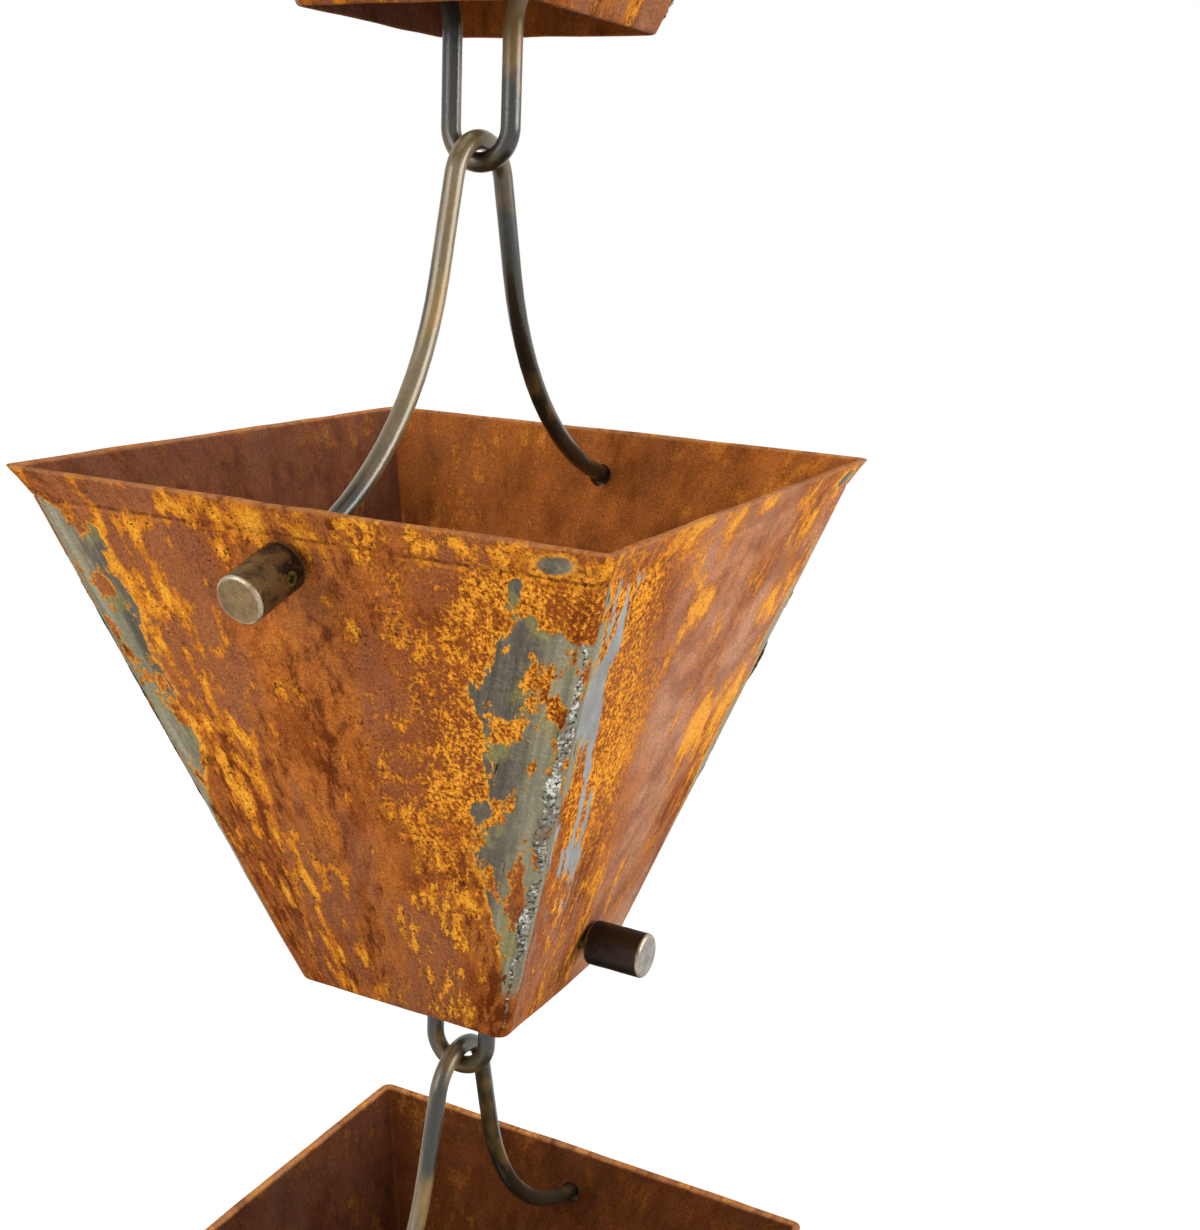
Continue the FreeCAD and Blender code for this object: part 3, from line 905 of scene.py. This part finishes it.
def rusted_sheet_steel(rust):
    """Mild steel sheet left to rust, matt and grainy: blotches from deep brown to orange, yellow young scale
    crowding beside the corners and on the lip, pinkish dust with soft yellow patches on some walls, ground
    bare steel with islands of rust beside the welds, slivers of blue-grey mill skin, and a plainer inside.
    Painted shade darkens the inside, the groove under the lip and the foot. Rust hides the metal, so only the
    bare parts shine."""
    material, add = new_material("rusted_sheet_steel")
    place, corner_place = (add("Attribute", output="Vector", attribute_name=name)
                           for name in ("sheet_place", "corner_place"))
    corner, across, below, inside, dusty, in_shade = (
        add("Attribute", output="Fac", attribute_name=name)
        for name in ("corner_mm", "across", "below_mm", "inside", "dust", "in_shade"))
    spot = add("TexCoord", output="Object")

    # Noises that follow the sheet, or the distance from its corner: width and length of a blotch in
    # millimetres, detail and roughness
    noise = SimpleNamespace()
    for follows, rows in (
            (place, (("blotch", 3.6, 5.0, 8, 0.7), ("streak", 9, 60, 4, 0.55), ("region", 24, 34, 3, 0.55),
                     ("scale", 3.3, 4.2, 8, 0.68), ("hue", 13, 19, 4, 0.6), ("cloud", 16, 9, 5, 0.55),
                     ("cluster", 11, 15, 4, 0.6), ("drop", 4.5, 7, 4, 0.55), ("blob", 13, 17, 7, 0.62))),
            (corner_place, (("tear", 9, 24, 6, 0.6), ("island", 5, 9, 5, 0.62),
                            ("sliver", 4.6, 24, 3, 0.6), ("scratch", 0.7, 7, 1, 0.5),
                            ("film", 6, 10, 4, 0.55), ("brush", 1.3, 22, 4, 0.6)))):
        for name, *sizes in rows:
            setattr(noise, name, surface_noise(add, follows, *sizes))
    # Noises through space: grains of 0.8 mm and grit of 0.45 mm, coarser than real rust so that they show
    for name, size, detail, roughness in (("grain", 0.8, 4, 0.7), ("grit", 0.45, 2, 0.6)):
        setattr(noise, name, add("TexNoise", Vector=spot, Scale=1 / (size * MM), Detail=detail,
                                 Roughness=roughness))
    outer = add("MapRange", inside, 0, 1, 1, 0)
    powdery = add("MapRange", dusty, 0.3, 0.8)
    # From the start of a wall to its end, with an uneven line between them
    ending = add("Math", noise.cluster, 0.8, across, **WEIGHED)
    ending = add("MapRange", ending, 0, 0.8, **SOFT)
    settled = add("MapRange", corner, 10, 44, 0.1, 1, **SOFT)
    settled = add("Math", settled, ending, operation="MAXIMUM")
    settled = add("Math", settled, powdery, **TIMES)

    # Old rust: deep brown to rust brown by blotches, regions and long streaks, with red and umber clouds
    tone = noise.blotch
    for source, weight in ((noise.streak, 0.36), (noise.region, 0.4)):
        tone = add("Math", source, weight, tone, **WEIGHED)
    skin = tinted(add, rust.deep, (tone, 0.73, 0.87, 1, rust.brown), (tone, 0.84, 1.0, 1, rust.rust),
                  (noise.hue, 0.47, 0.68, 0.6, rust.red), (noise.region, 0.47, 0.6, 0.65, rust.umber))

    # Pinkish dust in clouds on the walls that have it
    cloudy = add("MapRange", noise.region, 0.28, 0.6)
    dust_share = add("MapRange", settled, 0, 1, 0.3, 1.25)
    dust_share = add("Math", cloudy, dusty, dust_share, **TIMES)
    dust = tinted(add, rust.mauve, (noise.cloud, 0.36, 0.62, 1, rust.dusty))
    skin = add("Mix", dust_share, skin, dust, **RGBA)

    # Young scale: orange then yellow, crowding 8 to 30 mm from a corner and on the lip, in small flecks on
    # the plain walls and in soft patches on the dusty ones
    rise = add("MapRange", corner, 0, 8, **SOFT)
    fall = add("MapRange", corner, 42, 16, **SOFT)
    band = add("Math", rise, fall, **TIMES)
    lip = add("MapRange", below, 16, 4, **SOFT)
    crowd = add("Math", band, lip, operation="MAXIMUM")
    low = add("MapRange", below, 55, 100)
    low_share = add("Math", settled, 0.5, operation="MAXIMUM")
    low = add("Math", low, low_share, **TIMES)
    # Rounder flecks at the start of the plain walls
    rounder = add("Math", ending, powdery, operation="MAXIMUM")
    rounder = add("MapRange", rounder, 0, 1, 1, 0)
    fleck = add("Mix", rounder, noise.scale, noise.drop)
    patchy = add("Mix", settled, fleck, noise.blob)
    for source, weight in ((noise.cluster, 0.5), (crowd, 0.145), (inside, -0.06), (low, -0.12)):
        patchy = add("Math", source, weight, patchy, **WEIGHED)
    # Dense speckle beside the end of the plain walls and the start of the dusty ones
    side = add("Math", ending, powdery, operation="SUBTRACT")
    side = add("Math", side, operation="ABSOLUTE")
    near = add("MapRange", corner, 46, 16, **SOFT)
    high = add("MapRange", below, 90, 50, **SOFT)
    plain_lip = add("MapRange", below, 4, 9, 0.35, 1)
    dense = add("Math", outer, side, near, high, plain_lip, **TIMES)
    dense_share = add("Math", dense, 0.6, **TIMES)
    skin = add("Mix", dense_share, skin, rust.red, **RGBA)
    patchy = add("Mix", dense_share, patchy, 0.8)
    fine = add("MapRange", rounder, 0, 1, 0.35, 0.2)
    speckle = add("MapRange", dense, 0, 1, fine, 0.8)
    speckled = add("Math", noise.grain, speckle, patchy, **WEIGHED)
    for source, weight in ((dense, -0.14), (rounder, 0.07)):
        speckled = add("Math", source, weight, speckled, **WEIGHED)
    scaly = add("MapRange", speckled, 1.03, 1.11, **SOFT)
    peak = add("Math", speckled, 0.2, operation="SUBTRACT")
    peak = add("Mix", dense, patchy, peak)
    peak = add("Math", rounder, -0.05, peak, **WEIGHED)
    scale = tinted(add, rust.scale, (peak, 0.88, 1.0, 1, rust.young))
    thin = add("MapRange", settled, 0, 1, 1, 0.78)
    crust = add("Math", scaly, thin, **TIMES)
    rusty = add("Mix", crust, skin, scale, **RGBA)

    # The inside is plainer, and painted shade makes it darker than the outside: browner where the walls carry
    # dust, darkest in the cups that the cup above shades
    browner = add("MapRange", dusty, 0.3, 0.6)
    inside_shaded = add("Mix", browner, rust.inside, rust.inside_dusty, **RGBA)
    # Painted shade: darkest inside the cups that the cup above shades
    inside_shaded = add("Mix", in_shade, inside_shaded, rust.in_shade, **RGBA)
    inside_shaded = shaded(add, inside_shaded, (noise.cluster, 0.3, 0.7, 0.52, 1.52))
    plainer = add("MapRange", in_shade, 0, 1, 0.72, 0.9)
    plainer = add("Math", inside, plainer, **TIMES)
    rusty = add("Mix", plainer, rusty, inside_shaded, **RGBA)

    # Grains: dark pits and paler crumbs, fewer under the dust
    pit = add("MapRange", noise.grain, 0.46, 0.32, 0, 0.9, **SOFT)
    kept = add("MapRange", settled, 0, 1, 1, 0.4)
    smooth = add("MapRange", inside, 0, 1, 1, 0.45)
    gathered = add("MapRange", noise.cluster, 0.42, 0.6, 0.3, 1)
    crusty = add("MapRange", crust, 0, 1, 1, 1.7)
    pit = add("Math", kept, smooth, gathered, pit, crusty, **TIMES)
    rusty = add("Mix", pit, rusty, rust.grains, **RGBA)
    # Painted shade: the rust is darker towards the bottom of the cup, from 55 to 110 mm below the rim
    rusty = shaded(add, rusty, (noise.grit, 0.3, 0.7, 0.66, 1.34), (below, 55, 110, 1, 0.86))

    # Rubbed rim, and painted shade: a dark line in the groove under the lip, with a bright line beside it
    rubbed = add("MapRange", below, 1.0, 0.4, **SOFT)
    touched = add("MapRange", noise.blotch, 0.36, 0.62, 0.15, 0.75)
    rubbed = add("Math", rubbed, touched, **TIMES)
    rusty = add("Mix", rubbed, rusty, rust.rim, **RGBA)
    broken = add("MapRange", noise.scale, 0.38, 0.6)
    worn_away = add("MapRange", powdery, 0, 1, 1, 0.25)
    # Painted shade: the dark line stands for the lip's shadow in the groove; the bright line of scale lies
    # just below it
    for depth, half_width, most, tint in ((rust.crease, 0.45, 0.75, rust.grains),
                                          (rust.crease + 0.8, 0.4, 0.6, rust.scale)):
        off_line = add("Math", below, depth, operation="SUBTRACT")
        off_line = add("Math", off_line, operation="ABSOLUTE")
        line = add("MapRange", off_line, half_width, 0.1, 0, most, **SOFT)
        line = add("Math", line, outer, broken, worn_away, **TIMES)
        rusty = add("Mix", line, rusty, tint, **RGBA)

    # Ground bare steel: wide at the end of each wall and narrower at its start, less of it on dusty walls,
    # with a torn edge and islands of rust
    late = add("MapRange", dusty, 0.2, 0.85, 21, 5)
    early = add("MapRange", dusty, 0.2, 0.85, 13, 3)
    widest = add("Mix", ending, early, late)
    least = add("MapRange", ending, 0, 1, 0.5, 0.36)
    reach = add("MapRange", noise.tear, 0.34, 0.7, least, 1)
    # On the end side the steel starts lower at the very corner than 12 mm away from it
    higher = add("Math", corner, 12, operation="MINIMUM")
    higher = add("Math", higher, 1.2, below, **WEIGHED)
    from_rim = add("Math", below, 12, operation="ADD")
    from_rim = add("Mix", ending, from_rim, higher)
    from_top = add("MapRange", from_rim, 17, 23, **SOFT)
    foot = add("MapRange", ending, 0, 1, 76, 103)
    from_foot = add("MapRange", below, foot, 45, **SOFT)
    reach = add("Math", reach, widest, from_top, from_foot, **TIMES)
    margin = add("Math", reach, corner, operation="SUBTRACT")
    bare = add("MapRange", margin, 0, 0.35, **SOFT)
    open_steel = add("MapRange", noise.island, 0.56, 0.545)
    bare = add("Math", bare, open_steel, outer, **TIMES)

    # A bare tack weld on the lip near the end of each wall, 6 mm wide and 4 mm high
    aside = add("MapRange", corner, 3.3, 9.7, -1, 1, clamp=False)
    down = add("MapRange", below, 1.7, 5.5, -1, 1, clamp=False)
    offset = add("CombineXYZ", aside, down)
    away = add("VectorMath", offset, operation="LENGTH")
    away = add("Math", noise.island, 1.4, away, **WEIGHED)
    tack, tack_ring = (add("MapRange", away, *edge, **SOFT) for edge in ((1.85, 1.45), (2.2, 1.8)))
    tack, tack_ring = (add("Math", share, outer, ending, **TIMES) for share in (tack, tack_ring))
    bare = add("Math", bare, tack, operation="MAXIMUM")

    # Slivers of mill skin near the start of the dusty walls, running down beside the corner
    beside = add("MapRange", corner, 24, 8, **SOFT)
    sliver = add("Math", beside, 0.2, noise.sliver, **WEIGHED)
    sliver = add("MapRange", sliver, 0.735, 0.75)
    starting = add("MapRange", ending, 0, 1, 1, 0)
    leaves = add("MapRange", dusty, 0.4, 0.55)
    runs_out = add("MapRange", below, 92, 70)
    under_lip = add("MapRange", below, 5.5, 8)
    sliver = add("Math", sliver, starting, outer, under_lip, runs_out, leaves, **TIMES)

    # Bright scale outlines the bare steel and its islands, broken up by the grains
    outline = add("MapRange", margin, -1.3, -0.1, **SOFT)
    ring = add("MapRange", noise.island, 0.6, 0.555)
    present = add("MapRange", reach, 0.5, 2)
    outline = add("Math", outline, ring, present, **TIMES)
    outline = add("Math", outline, tack_ring, operation="MAXIMUM")
    grainy = add("MapRange", noise.grain, 0.36, 0.56)
    outline = add("Math", outline, grainy, outer, **TIMES)
    rusty = add("Mix", outline, rusty, rust.young, **RGBA)

    # Bare steel's own colours: dark warm grey at its edge, paler where it was ground at the weld, an olive
    # film in places, scratches, and the mill skin
    ground = add("MapRange", corner, 8, 1, **SOFT)
    ground = add("Math", noise.film, 1.6, ground, **WEIGHED)
    steel = tinted(add, rust.bare, (ground, 0.7, 1.6, 1, rust.ground),
                   (noise.film, 0.53, 0.64, 0.7, rust.olive))
    scratch = add("MapRange", noise.scratch, 0.75, 0.78)
    steel = add("Mix", scratch, steel, rust.grains, **RGBA)
    steel = shaded(add, steel, (noise.grain, 0.3, 0.7, 0.75, 1.22), (noise.brush, 0.3, 0.7, 0.68, 1.3))
    surface = add("Mix", bare, rusty, steel, **RGBA)
    mill = add("Mix", noise.film, rust.bare, rust.mill, **RGBA)
    surface = add("Mix", sliver, surface, mill, **RGBA)
    metal = add("Math", bare, sliver, operation="MAXIMUM")

    rough = add("MapRange", metal, 0, 1, 0.88, 0.45)
    shine = add("MapRange", metal, 0, 1, 0.0, 0.35)
    raised = noise.grain
    for source, weight in ((scaly, 0.4), (noise.grit, 0.4), (noise.blotch, 0.8), (metal, -0.7)):
        raised = add("Math", source, weight, raised, **WEIGHED)
    return finished(material, add, 0.7, 0.3, raised, Base_Color=surface, Roughness=rough, Metallic=shine,
                    Specular_IOR_Level=0.04)


def weld_metal(metal):
    """Weld metal laid by arc and half ground: grains of grey metal with black slag in the hollows, and the
    brightest grains bright metal painted near white as glints.
    """
    material, add = new_material("weld_metal")
    spot = add("TexCoord", output="Object")
    # Grains of 0.8 mm in patches of 7 mm
    grain = add("TexNoise", Vector=spot, Scale=1 / (0.8 * MM), Detail=4, Roughness=0.62)
    patch = add("TexNoise", Vector=spot, Scale=1 / (7 * MM), Detail=2)
    painted_glint = add("Math", patch, 0.7, grain, **WEIGHED)
    slag = add("MapRange", grain, 0.4, 0.47, **SOFT)
    tint = add("Mix", slag, metal.weld_dark, metal.weld_grey, **RGBA)
    # Painted glints: the brightest grains take the near-white weld colour
    tint = tinted(add, tint, (painted_glint, 0.89, 1.0, 1, metal.weld), (patch, 0.44, 0.34, 0.7, metal.weld_rust))
    rough = add("MapRange", slag, 0, 1, 0.6, 0.28)
    return finished(material, add, 0.8, 0.3, grain, Base_Color=tint, Roughness=rough, Metallic=0.85)


def bent_steel_rod(metal):
    """Drawn mild steel rod, bent cold: a satin sheen under a thin oil-brown film that turns from golden to
    dark olive in long patches, with fine draw lines and a few pits. Painted shade darkens the links and the
    back legs of the hangers."""
    material, add = new_material("bent_steel_rod")
    place = add("Attribute", output="Vector", attribute_name="rod_place")
    painted_shade = add("Attribute", output="Fac", attribute_name="painted_shade")
    spot = add("TexCoord", output="Object")
    # Patches 42 mm long, smudges of 16 mm and draw lines of 0.5 mm follow the rod. The lines are drawn
    # coarser than real ones, so that they show
    patch = surface_noise(add, place, 42, 24, 3)
    smudge = surface_noise(add, place, 16, 8, 4)
    lines = surface_noise(add, place, 25, 0.5, 2)
    pits = add("TexNoise", Vector=spot, Scale=1 / (1.1 * MM), Detail=3, Roughness=0.7)
    # Painted shade: the links and the back legs of the hangers lean to the dark film colour
    dark = add("Math", painted_shade, 0.15, patch, **WEIGHED)
    tint = tinted(add, metal.rod, (dark, 0.43, 0.63, 1, metal.rod_shadow),
                  (smudge, 0.5, 0.7, 0.7, metal.rod_bronze))
    tint = shaded(add, tint, (pits, 0.3, 0.6, 0.8, 1.06))
    rough = add("MapRange", smudge, 0.35, 0.65, 0.22, 0.36)
    height = add("Math", lines, 0.5, pits, **WEIGHED)
    return finished(material, add, 0.25, 0.2, height, Base_Color=tint, Roughness=rough, Metallic=0.15,
                    Specular_IOR_Level=0.75)


def turned_steel_cap(metal):
    """Turned and sawn steel bar under a brown-black film: turning lines round the barrel, olive patches,
    a paler grainy sawn face and rubbed bright edges."""
    material, add = new_material("turned_steel_cap")
    place = add("Attribute", output="Vector", attribute_name="bar_place")
    worn, sawn, black = (add("Attribute", output="Fac", attribute_name=name)
                         for name in ("worn", "sawn", "black"))
    spot = add("TexCoord", output="Object")
    film = add("TexNoise", Vector=spot, Scale=1 / (3.5 * MM), Detail=5, Roughness=0.65)
    olive = add("TexNoise", Vector=spot, Scale=1 / (2.2 * MM), Detail=4)
    # Grains of 0.4 mm and turning lines of 0.35 mm, drawn coarser than real ones so that they show
    grain = add("TexNoise", Vector=spot, Scale=1 / (0.4 * MM), Detail=3, Roughness=0.7)
    lines = surface_noise(add, place, 0.35, 20, 2)
    # Painted shade: the film is darker towards the mouth, next to the wall, where shade falls
    mouth = add("SeparateXYZ", place)
    mouth = add("MapRange", mouth, 7.5 * MM, 1.5 * MM, 0, 0.2)
    dark = add("Math", film, mouth, operation="ADD")
    tint = tinted(add, metal.cap, (dark, 0.46, 0.68, 1, metal.cap_dark),
                  (olive, 0.56, 0.68, 0.7, metal.cap_olive))
    tint = add("Mix", black, tint, metal.cap_dark, **RGBA)
    face = add("Mix", black, metal.cap_face, metal.cap_bare, **RGBA)
    face = shaded(add, face, (olive, 0.36, 0.64, 0.7, 1.15))
    tint = add("Mix", sawn, tint, face, **RGBA)
    rubbed = add("MapRange", film, 0.38, 0.58, 0.3, 0.85)
    rubbed = add("Math", rubbed, worn, **TIMES)
    tint = add("Mix", rubbed, tint, metal.worn, **RGBA)
    tint = shaded(add, tint, (grain, 0.3, 0.7, 0.65, 1.2))
    rough = add("MapRange", rubbed, 0, 1, 0.5, 0.25)
    height = add("Math", lines, 0.6, grain, **WEIGHED)
    return finished(material, add, 0.4, 0.15, height, Base_Color=tint, Roughness=rough, Metallic=0.65)


def plated_set_screw(metal):
    """Steel screw with yellow zinc plating, dulled and stained by weather."""
    material, add = new_material("plated_set_screw")
    spot = add("TexCoord", output="Object")
    # Stains of 0.9 mm
    stain = add("TexNoise", Vector=spot, Scale=1 / (0.9 * MM), Detail=4)
    dull = add("MapRange", stain, 0.42, 0.62, **SOFT)
    tint = add("Mix", dull, metal.screw, metal.screw_dull, **RGBA)
    rough = add("MapRange", dull, 0, 1, 0.32, 0.55)
    return finished(material, add, 0.3, 0.1, stain, Base_Color=tint, Roughness=rough, Metallic=0.8)


def pale_floor(stage):
    """Matt pale floor. The camera sees most of it as white, and the rest keeps the shadow."""
    material, add = new_material("pale_floor")
    whitened = add("Math", seen_directly(add), 0.8, **TIMES)
    matt = add("BsdfPrincipled", Base_Color=stage.floor, Roughness=0.9)
    white = add("Emission", Color=WHITE, Strength=1.16)
    mixed = add("MixShader", whitened, matt, white)
    add("OutputMaterial", mixed)
    return material


# Stage: half the floor's width, the softboxes with their name, place from the cup in view, size and power,
# and the share of the seen white that lights the chain

FLOOR_HALF = 8.0
SOFTBOXES = (
    ("key_softbox", (2.1, 0.7, 0.5), (1.7, 1.0), 42),
    ("fill_softbox", (-0.7, -2.0, 0.9), (1.5, 1.5), 34),
    ("top_softbox", (0.1, 0.5, 1.9), (1.4, 1.4), 4),
)
ROOM_LIGHT = 0.4


# Operators

class BuildCups(bpy.types.Operator):
    """Builds the cups of rusted sheet steel"""
    bl_idname = "rain_chain.build_cups"
    bl_label = "Build cups"

    def execute(self, context):
        settings = context.scene.rain_chain
        material = rusted_sheet_steel(settings.rust)
        for number in CUPS:
            points, faces, fields = cup_surface(settings.cup, number)
            node = "cup_%d" % number
            add_piece("cup_shell_%d" % number, points + rim_centre(number), faces, node,
                      material, [node], fields)
        return {"FINISHED"}


class BuildWelds(bpy.types.Operator):
    """Builds the weld beads down the corners of the cups"""
    bl_idname = "rain_chain.build_welds"
    bl_label = "Build welds"

    def execute(self, context):
        settings = context.scene.rain_chain
        material = weld_metal(settings.metal)
        for number in CUPS:
            points, faces = weld_beads(settings.cup, settings.weld, number)
            add_piece("corner_welds_%d" % number, points + rim_centre(number), faces, "cup_%d" % number,
                      material)
        return {"FINISHED"}


class BuildRods(bpy.types.Operator):
    """Builds the hangers, the links and the top ring of bent rod"""
    bl_idname = "rain_chain.build_rods"
    bl_label = "Build rods"

    def execute(self, context):
        settings = context.scene.rain_chain
        cup, rod, cap = settings.cup, settings.rod, settings.cap
        material = bent_steel_rod(settings.metal)
        along_x, along_y = np.array([1.0, 0, 0]), np.array([0, 1.0, 0])
        rings, place = rod_rings(ring_path(rod), along_y, rod, 1, closed=True)
        faces = grid_faces(*rings.shape[:2], True, True).reshape(-1, 4)[:, ::-1]
        add_piece("ring_rod", rings, (faces,), "top_ring", material, ["top_ring"],
                  {"rod_place": place.reshape(-1, 3), "painted_shade": np.full(rings[..., 0].size, RING_SHADE)})
        for number in CUPS:
            for kind, path, normal, seed in (("hanger", hanger_path(cup, rod, cap), along_x, number),
                                             ("link", link_path(cup, rod, cap), along_y, number + 10)):
                rings, place = rod_rings(path + rim_centre(number), normal, rod, seed)
                points, faces = closed_tube(rings)
                ends = place[[0, -1], 0]
                along = place[..., 0] / ends[-1, 0]
                # Painted shade: the links darkest, a hanger darker along its length towards its back leg
                shade = (np.full(along.shape, LINK_SHADE) if kind == "link"
                         else smooth_step(along, *HANGER_SHADE))
                fields = {"rod_place": np.concatenate([place.reshape(-1, 3), ends]),
                          "painted_shade": np.concatenate([shade.ravel(), shade[[0, -1], 0]])}
                add_piece("bent_%s_%d" % (kind, number), points, faces, "%s_%d" % (kind, number),
                          material, ["%s_rod_%d" % (kind, number)], fields)
        return {"FINISHED"}


class BuildCaps(bpy.types.Operator):
    """Builds the barrel caps on the rod ends and finishes their set screws"""
    bl_idname = "rain_chain.build_caps"
    bl_label = "Build caps"

    def execute(self, context):
        settings = context.scene.rain_chain
        cup, cap = settings.cup, settings.cap
        material = turned_steel_cap(settings.metal)
        plating = plated_set_screw(settings.metal)
        hanger_axis, hanger_out = hanger_end(cup)
        link_axis, link_out = link_end(cup)
        hanger_mouth = hanger_axis + hanger_out * (cup.sheet / 2 + cap.hanger_gap)
        link_mouth = link_axis + link_out * link_standoff(cup, cap)
        ends = (("hanger", "front", -1), ("hanger", "back", 1), ("link", "left", -1), ("link", "right", 1))
        for number in CUPS:
            for order, (kind, end, side) in enumerate(ends):
                if kind == "hanger":
                    mouth = np.array([0, side * hanger_mouth[0], hanger_mouth[1]])
                    outward = np.array([0, side * hanger_out[0], hanger_out[1]])
                    screw_side = np.array([1.0, 0, 0])
                else:
                    mouth = np.array([side * link_mouth[0], 0, link_mouth[1]])
                    outward = np.array([side * 1.0, 0, 0])
                    screw_side = np.array([0, 0, -side * 1.0])
                black = LINK_CAP_BLACK if kind == "link" else 0.0
                seed = number * len(ends) + order
                points, faces, fields = cap_surface(cap, mouth + rim_centre(number), outward, screw_side,
                                                    black, seed)
                node = "%s_cap_%s_%d" % (kind, end, number)
                add_piece("barrel_%s_%s_%d" % (kind, end, number), points, faces, "%s_%d" % (kind, number),
                          material, [node], fields, crease=60)
                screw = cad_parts["%s_screw_%s_%d" % (kind, end, number)]
                screw.data.materials.clear()
                screw.data.materials.append(plating)
        return {"FINISHED"}


class BuildStage(bpy.types.Operator):
    """Adds the floor, the soft light, the white background and the camera"""
    bl_idname = "rain_chain.build_stage"
    bl_label = "Build stage"

    def execute(self, context):
        scene = context.scene
        stage = scene.rain_chain.stage
        aim = Vector(rim_centre(stage.aim_cup))

        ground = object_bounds()[0].z - stage.floor_drop
        corners = [(x * FLOOR_HALF, y * FLOOR_HALF, ground) for x, y in ((-1, -1), (1, -1), (1, 1), (-1, 1))]
        mesh = bpy.data.meshes.new("floor")
        mesh.from_pydata(corners, [], [(0, 1, 2, 3)])
        mesh.materials.append(pale_floor(stage))
        floor = bpy.data.objects.new("floor", mesh)
        scene.collection.objects.link(floor)
        floor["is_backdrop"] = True

        for name, offset, size, power in SOFTBOXES:
            light = bpy.data.lights.new(name, "AREA")
            light.shape = "RECTANGLE"
            light.size, light.size_y = size
            light.energy = power
            lamp = bpy.data.objects.new(name, light)
            lamp.location = aim + Vector(offset)
            lamp.rotation_euler = (-Vector(offset)).to_track_quat("-Z", "Y").to_euler()
            scene.collection.objects.link(lamp)

        world = bpy.data.worlds.new("white_studio")
        world.use_nodes = True
        world.node_tree.nodes.clear()
        add = partial(add_node, world.node_tree)
        strength = add("MapRange", seen_directly(add), 0, 1, ROOM_LIGHT, 1.0)
        sky = add("Background", Color=WHITE, Strength=strength)
        add("OutputWorld", sky, is_active_output=True)
        scene.world = world

        data = bpy.data.cameras.new("close_up")
        data.lens = stage.lens
        data.clip_start = 0.01
        camera = bpy.data.objects.new("close_up", data)
        look = (Matrix.Rotation(stage.turn, 4, "Z") @ Matrix.Rotation(math.pi / 2 - stage.pitch, 4, "X")
                @ Matrix.Rotation(stage.roll, 4, "Z"))
        place = aim + Vector((stage.camera_x, stage.camera_y, stage.camera_z))
        camera.matrix_world = Matrix.Translation(place) @ look
        scene.collection.objects.link(camera)
        scene.camera = camera
        scene.view_settings.view_transform = "Standard"
        return {"FINISHED"}


class RainChainPanel(bpy.types.Panel):
    """Lists the steps and settings of the rain chain"""
    bl_idname = "VIEW3D_PT_rain_chain"
    bl_label = "Rain chain"
    bl_space_type = "VIEW_3D"
    bl_region_type = "UI"
    bl_category = "Rain chain"

    def draw(self, context):
        settings = context.scene.rain_chain
        for operator in OPERATORS:
            self.layout.operator(operator.bl_idname)
        for group in settings.bl_rna.properties:
            if group.type == "POINTER" and group.identifier != "rna_type":
                box = self.layout.box()
                box.label(text=group.identifier.capitalize())
                values = getattr(settings, group.identifier)
                for value in values.bl_rna.properties:
                    if value.identifier not in ("rna_type", "name"):
                        box.prop(values, value.identifier)


GROUPS = (CupSizes, WeldSizes, RodSizes, CapSizes, RustColours, MetalColours, StageSettings,
          RainChainSettings)
OPERATORS = (BuildCups, BuildWelds, BuildRods, BuildCaps, BuildStage)


def register():
    for item in GROUPS + OPERATORS + (RainChainPanel,):
        bpy.utils.register_class(item)
    bpy.types.Scene.rain_chain = bpy.props.PointerProperty(type=RainChainSettings)


def unregister():
    del bpy.types.Scene.rain_chain
    for item in reversed(GROUPS + OPERATORS + (RainChainPanel,)):
        bpy.utils.unregister_class(item)


def main():
    """Builds every piece and the stage."""
    register()
    bpy.ops.rain_chain.build_cups()
    bpy.ops.rain_chain.build_welds()
    bpy.ops.rain_chain.build_rods()
    bpy.ops.rain_chain.build_caps()
    bpy.ops.rain_chain.build_stage()


if __name__ == "__main__":
    main()
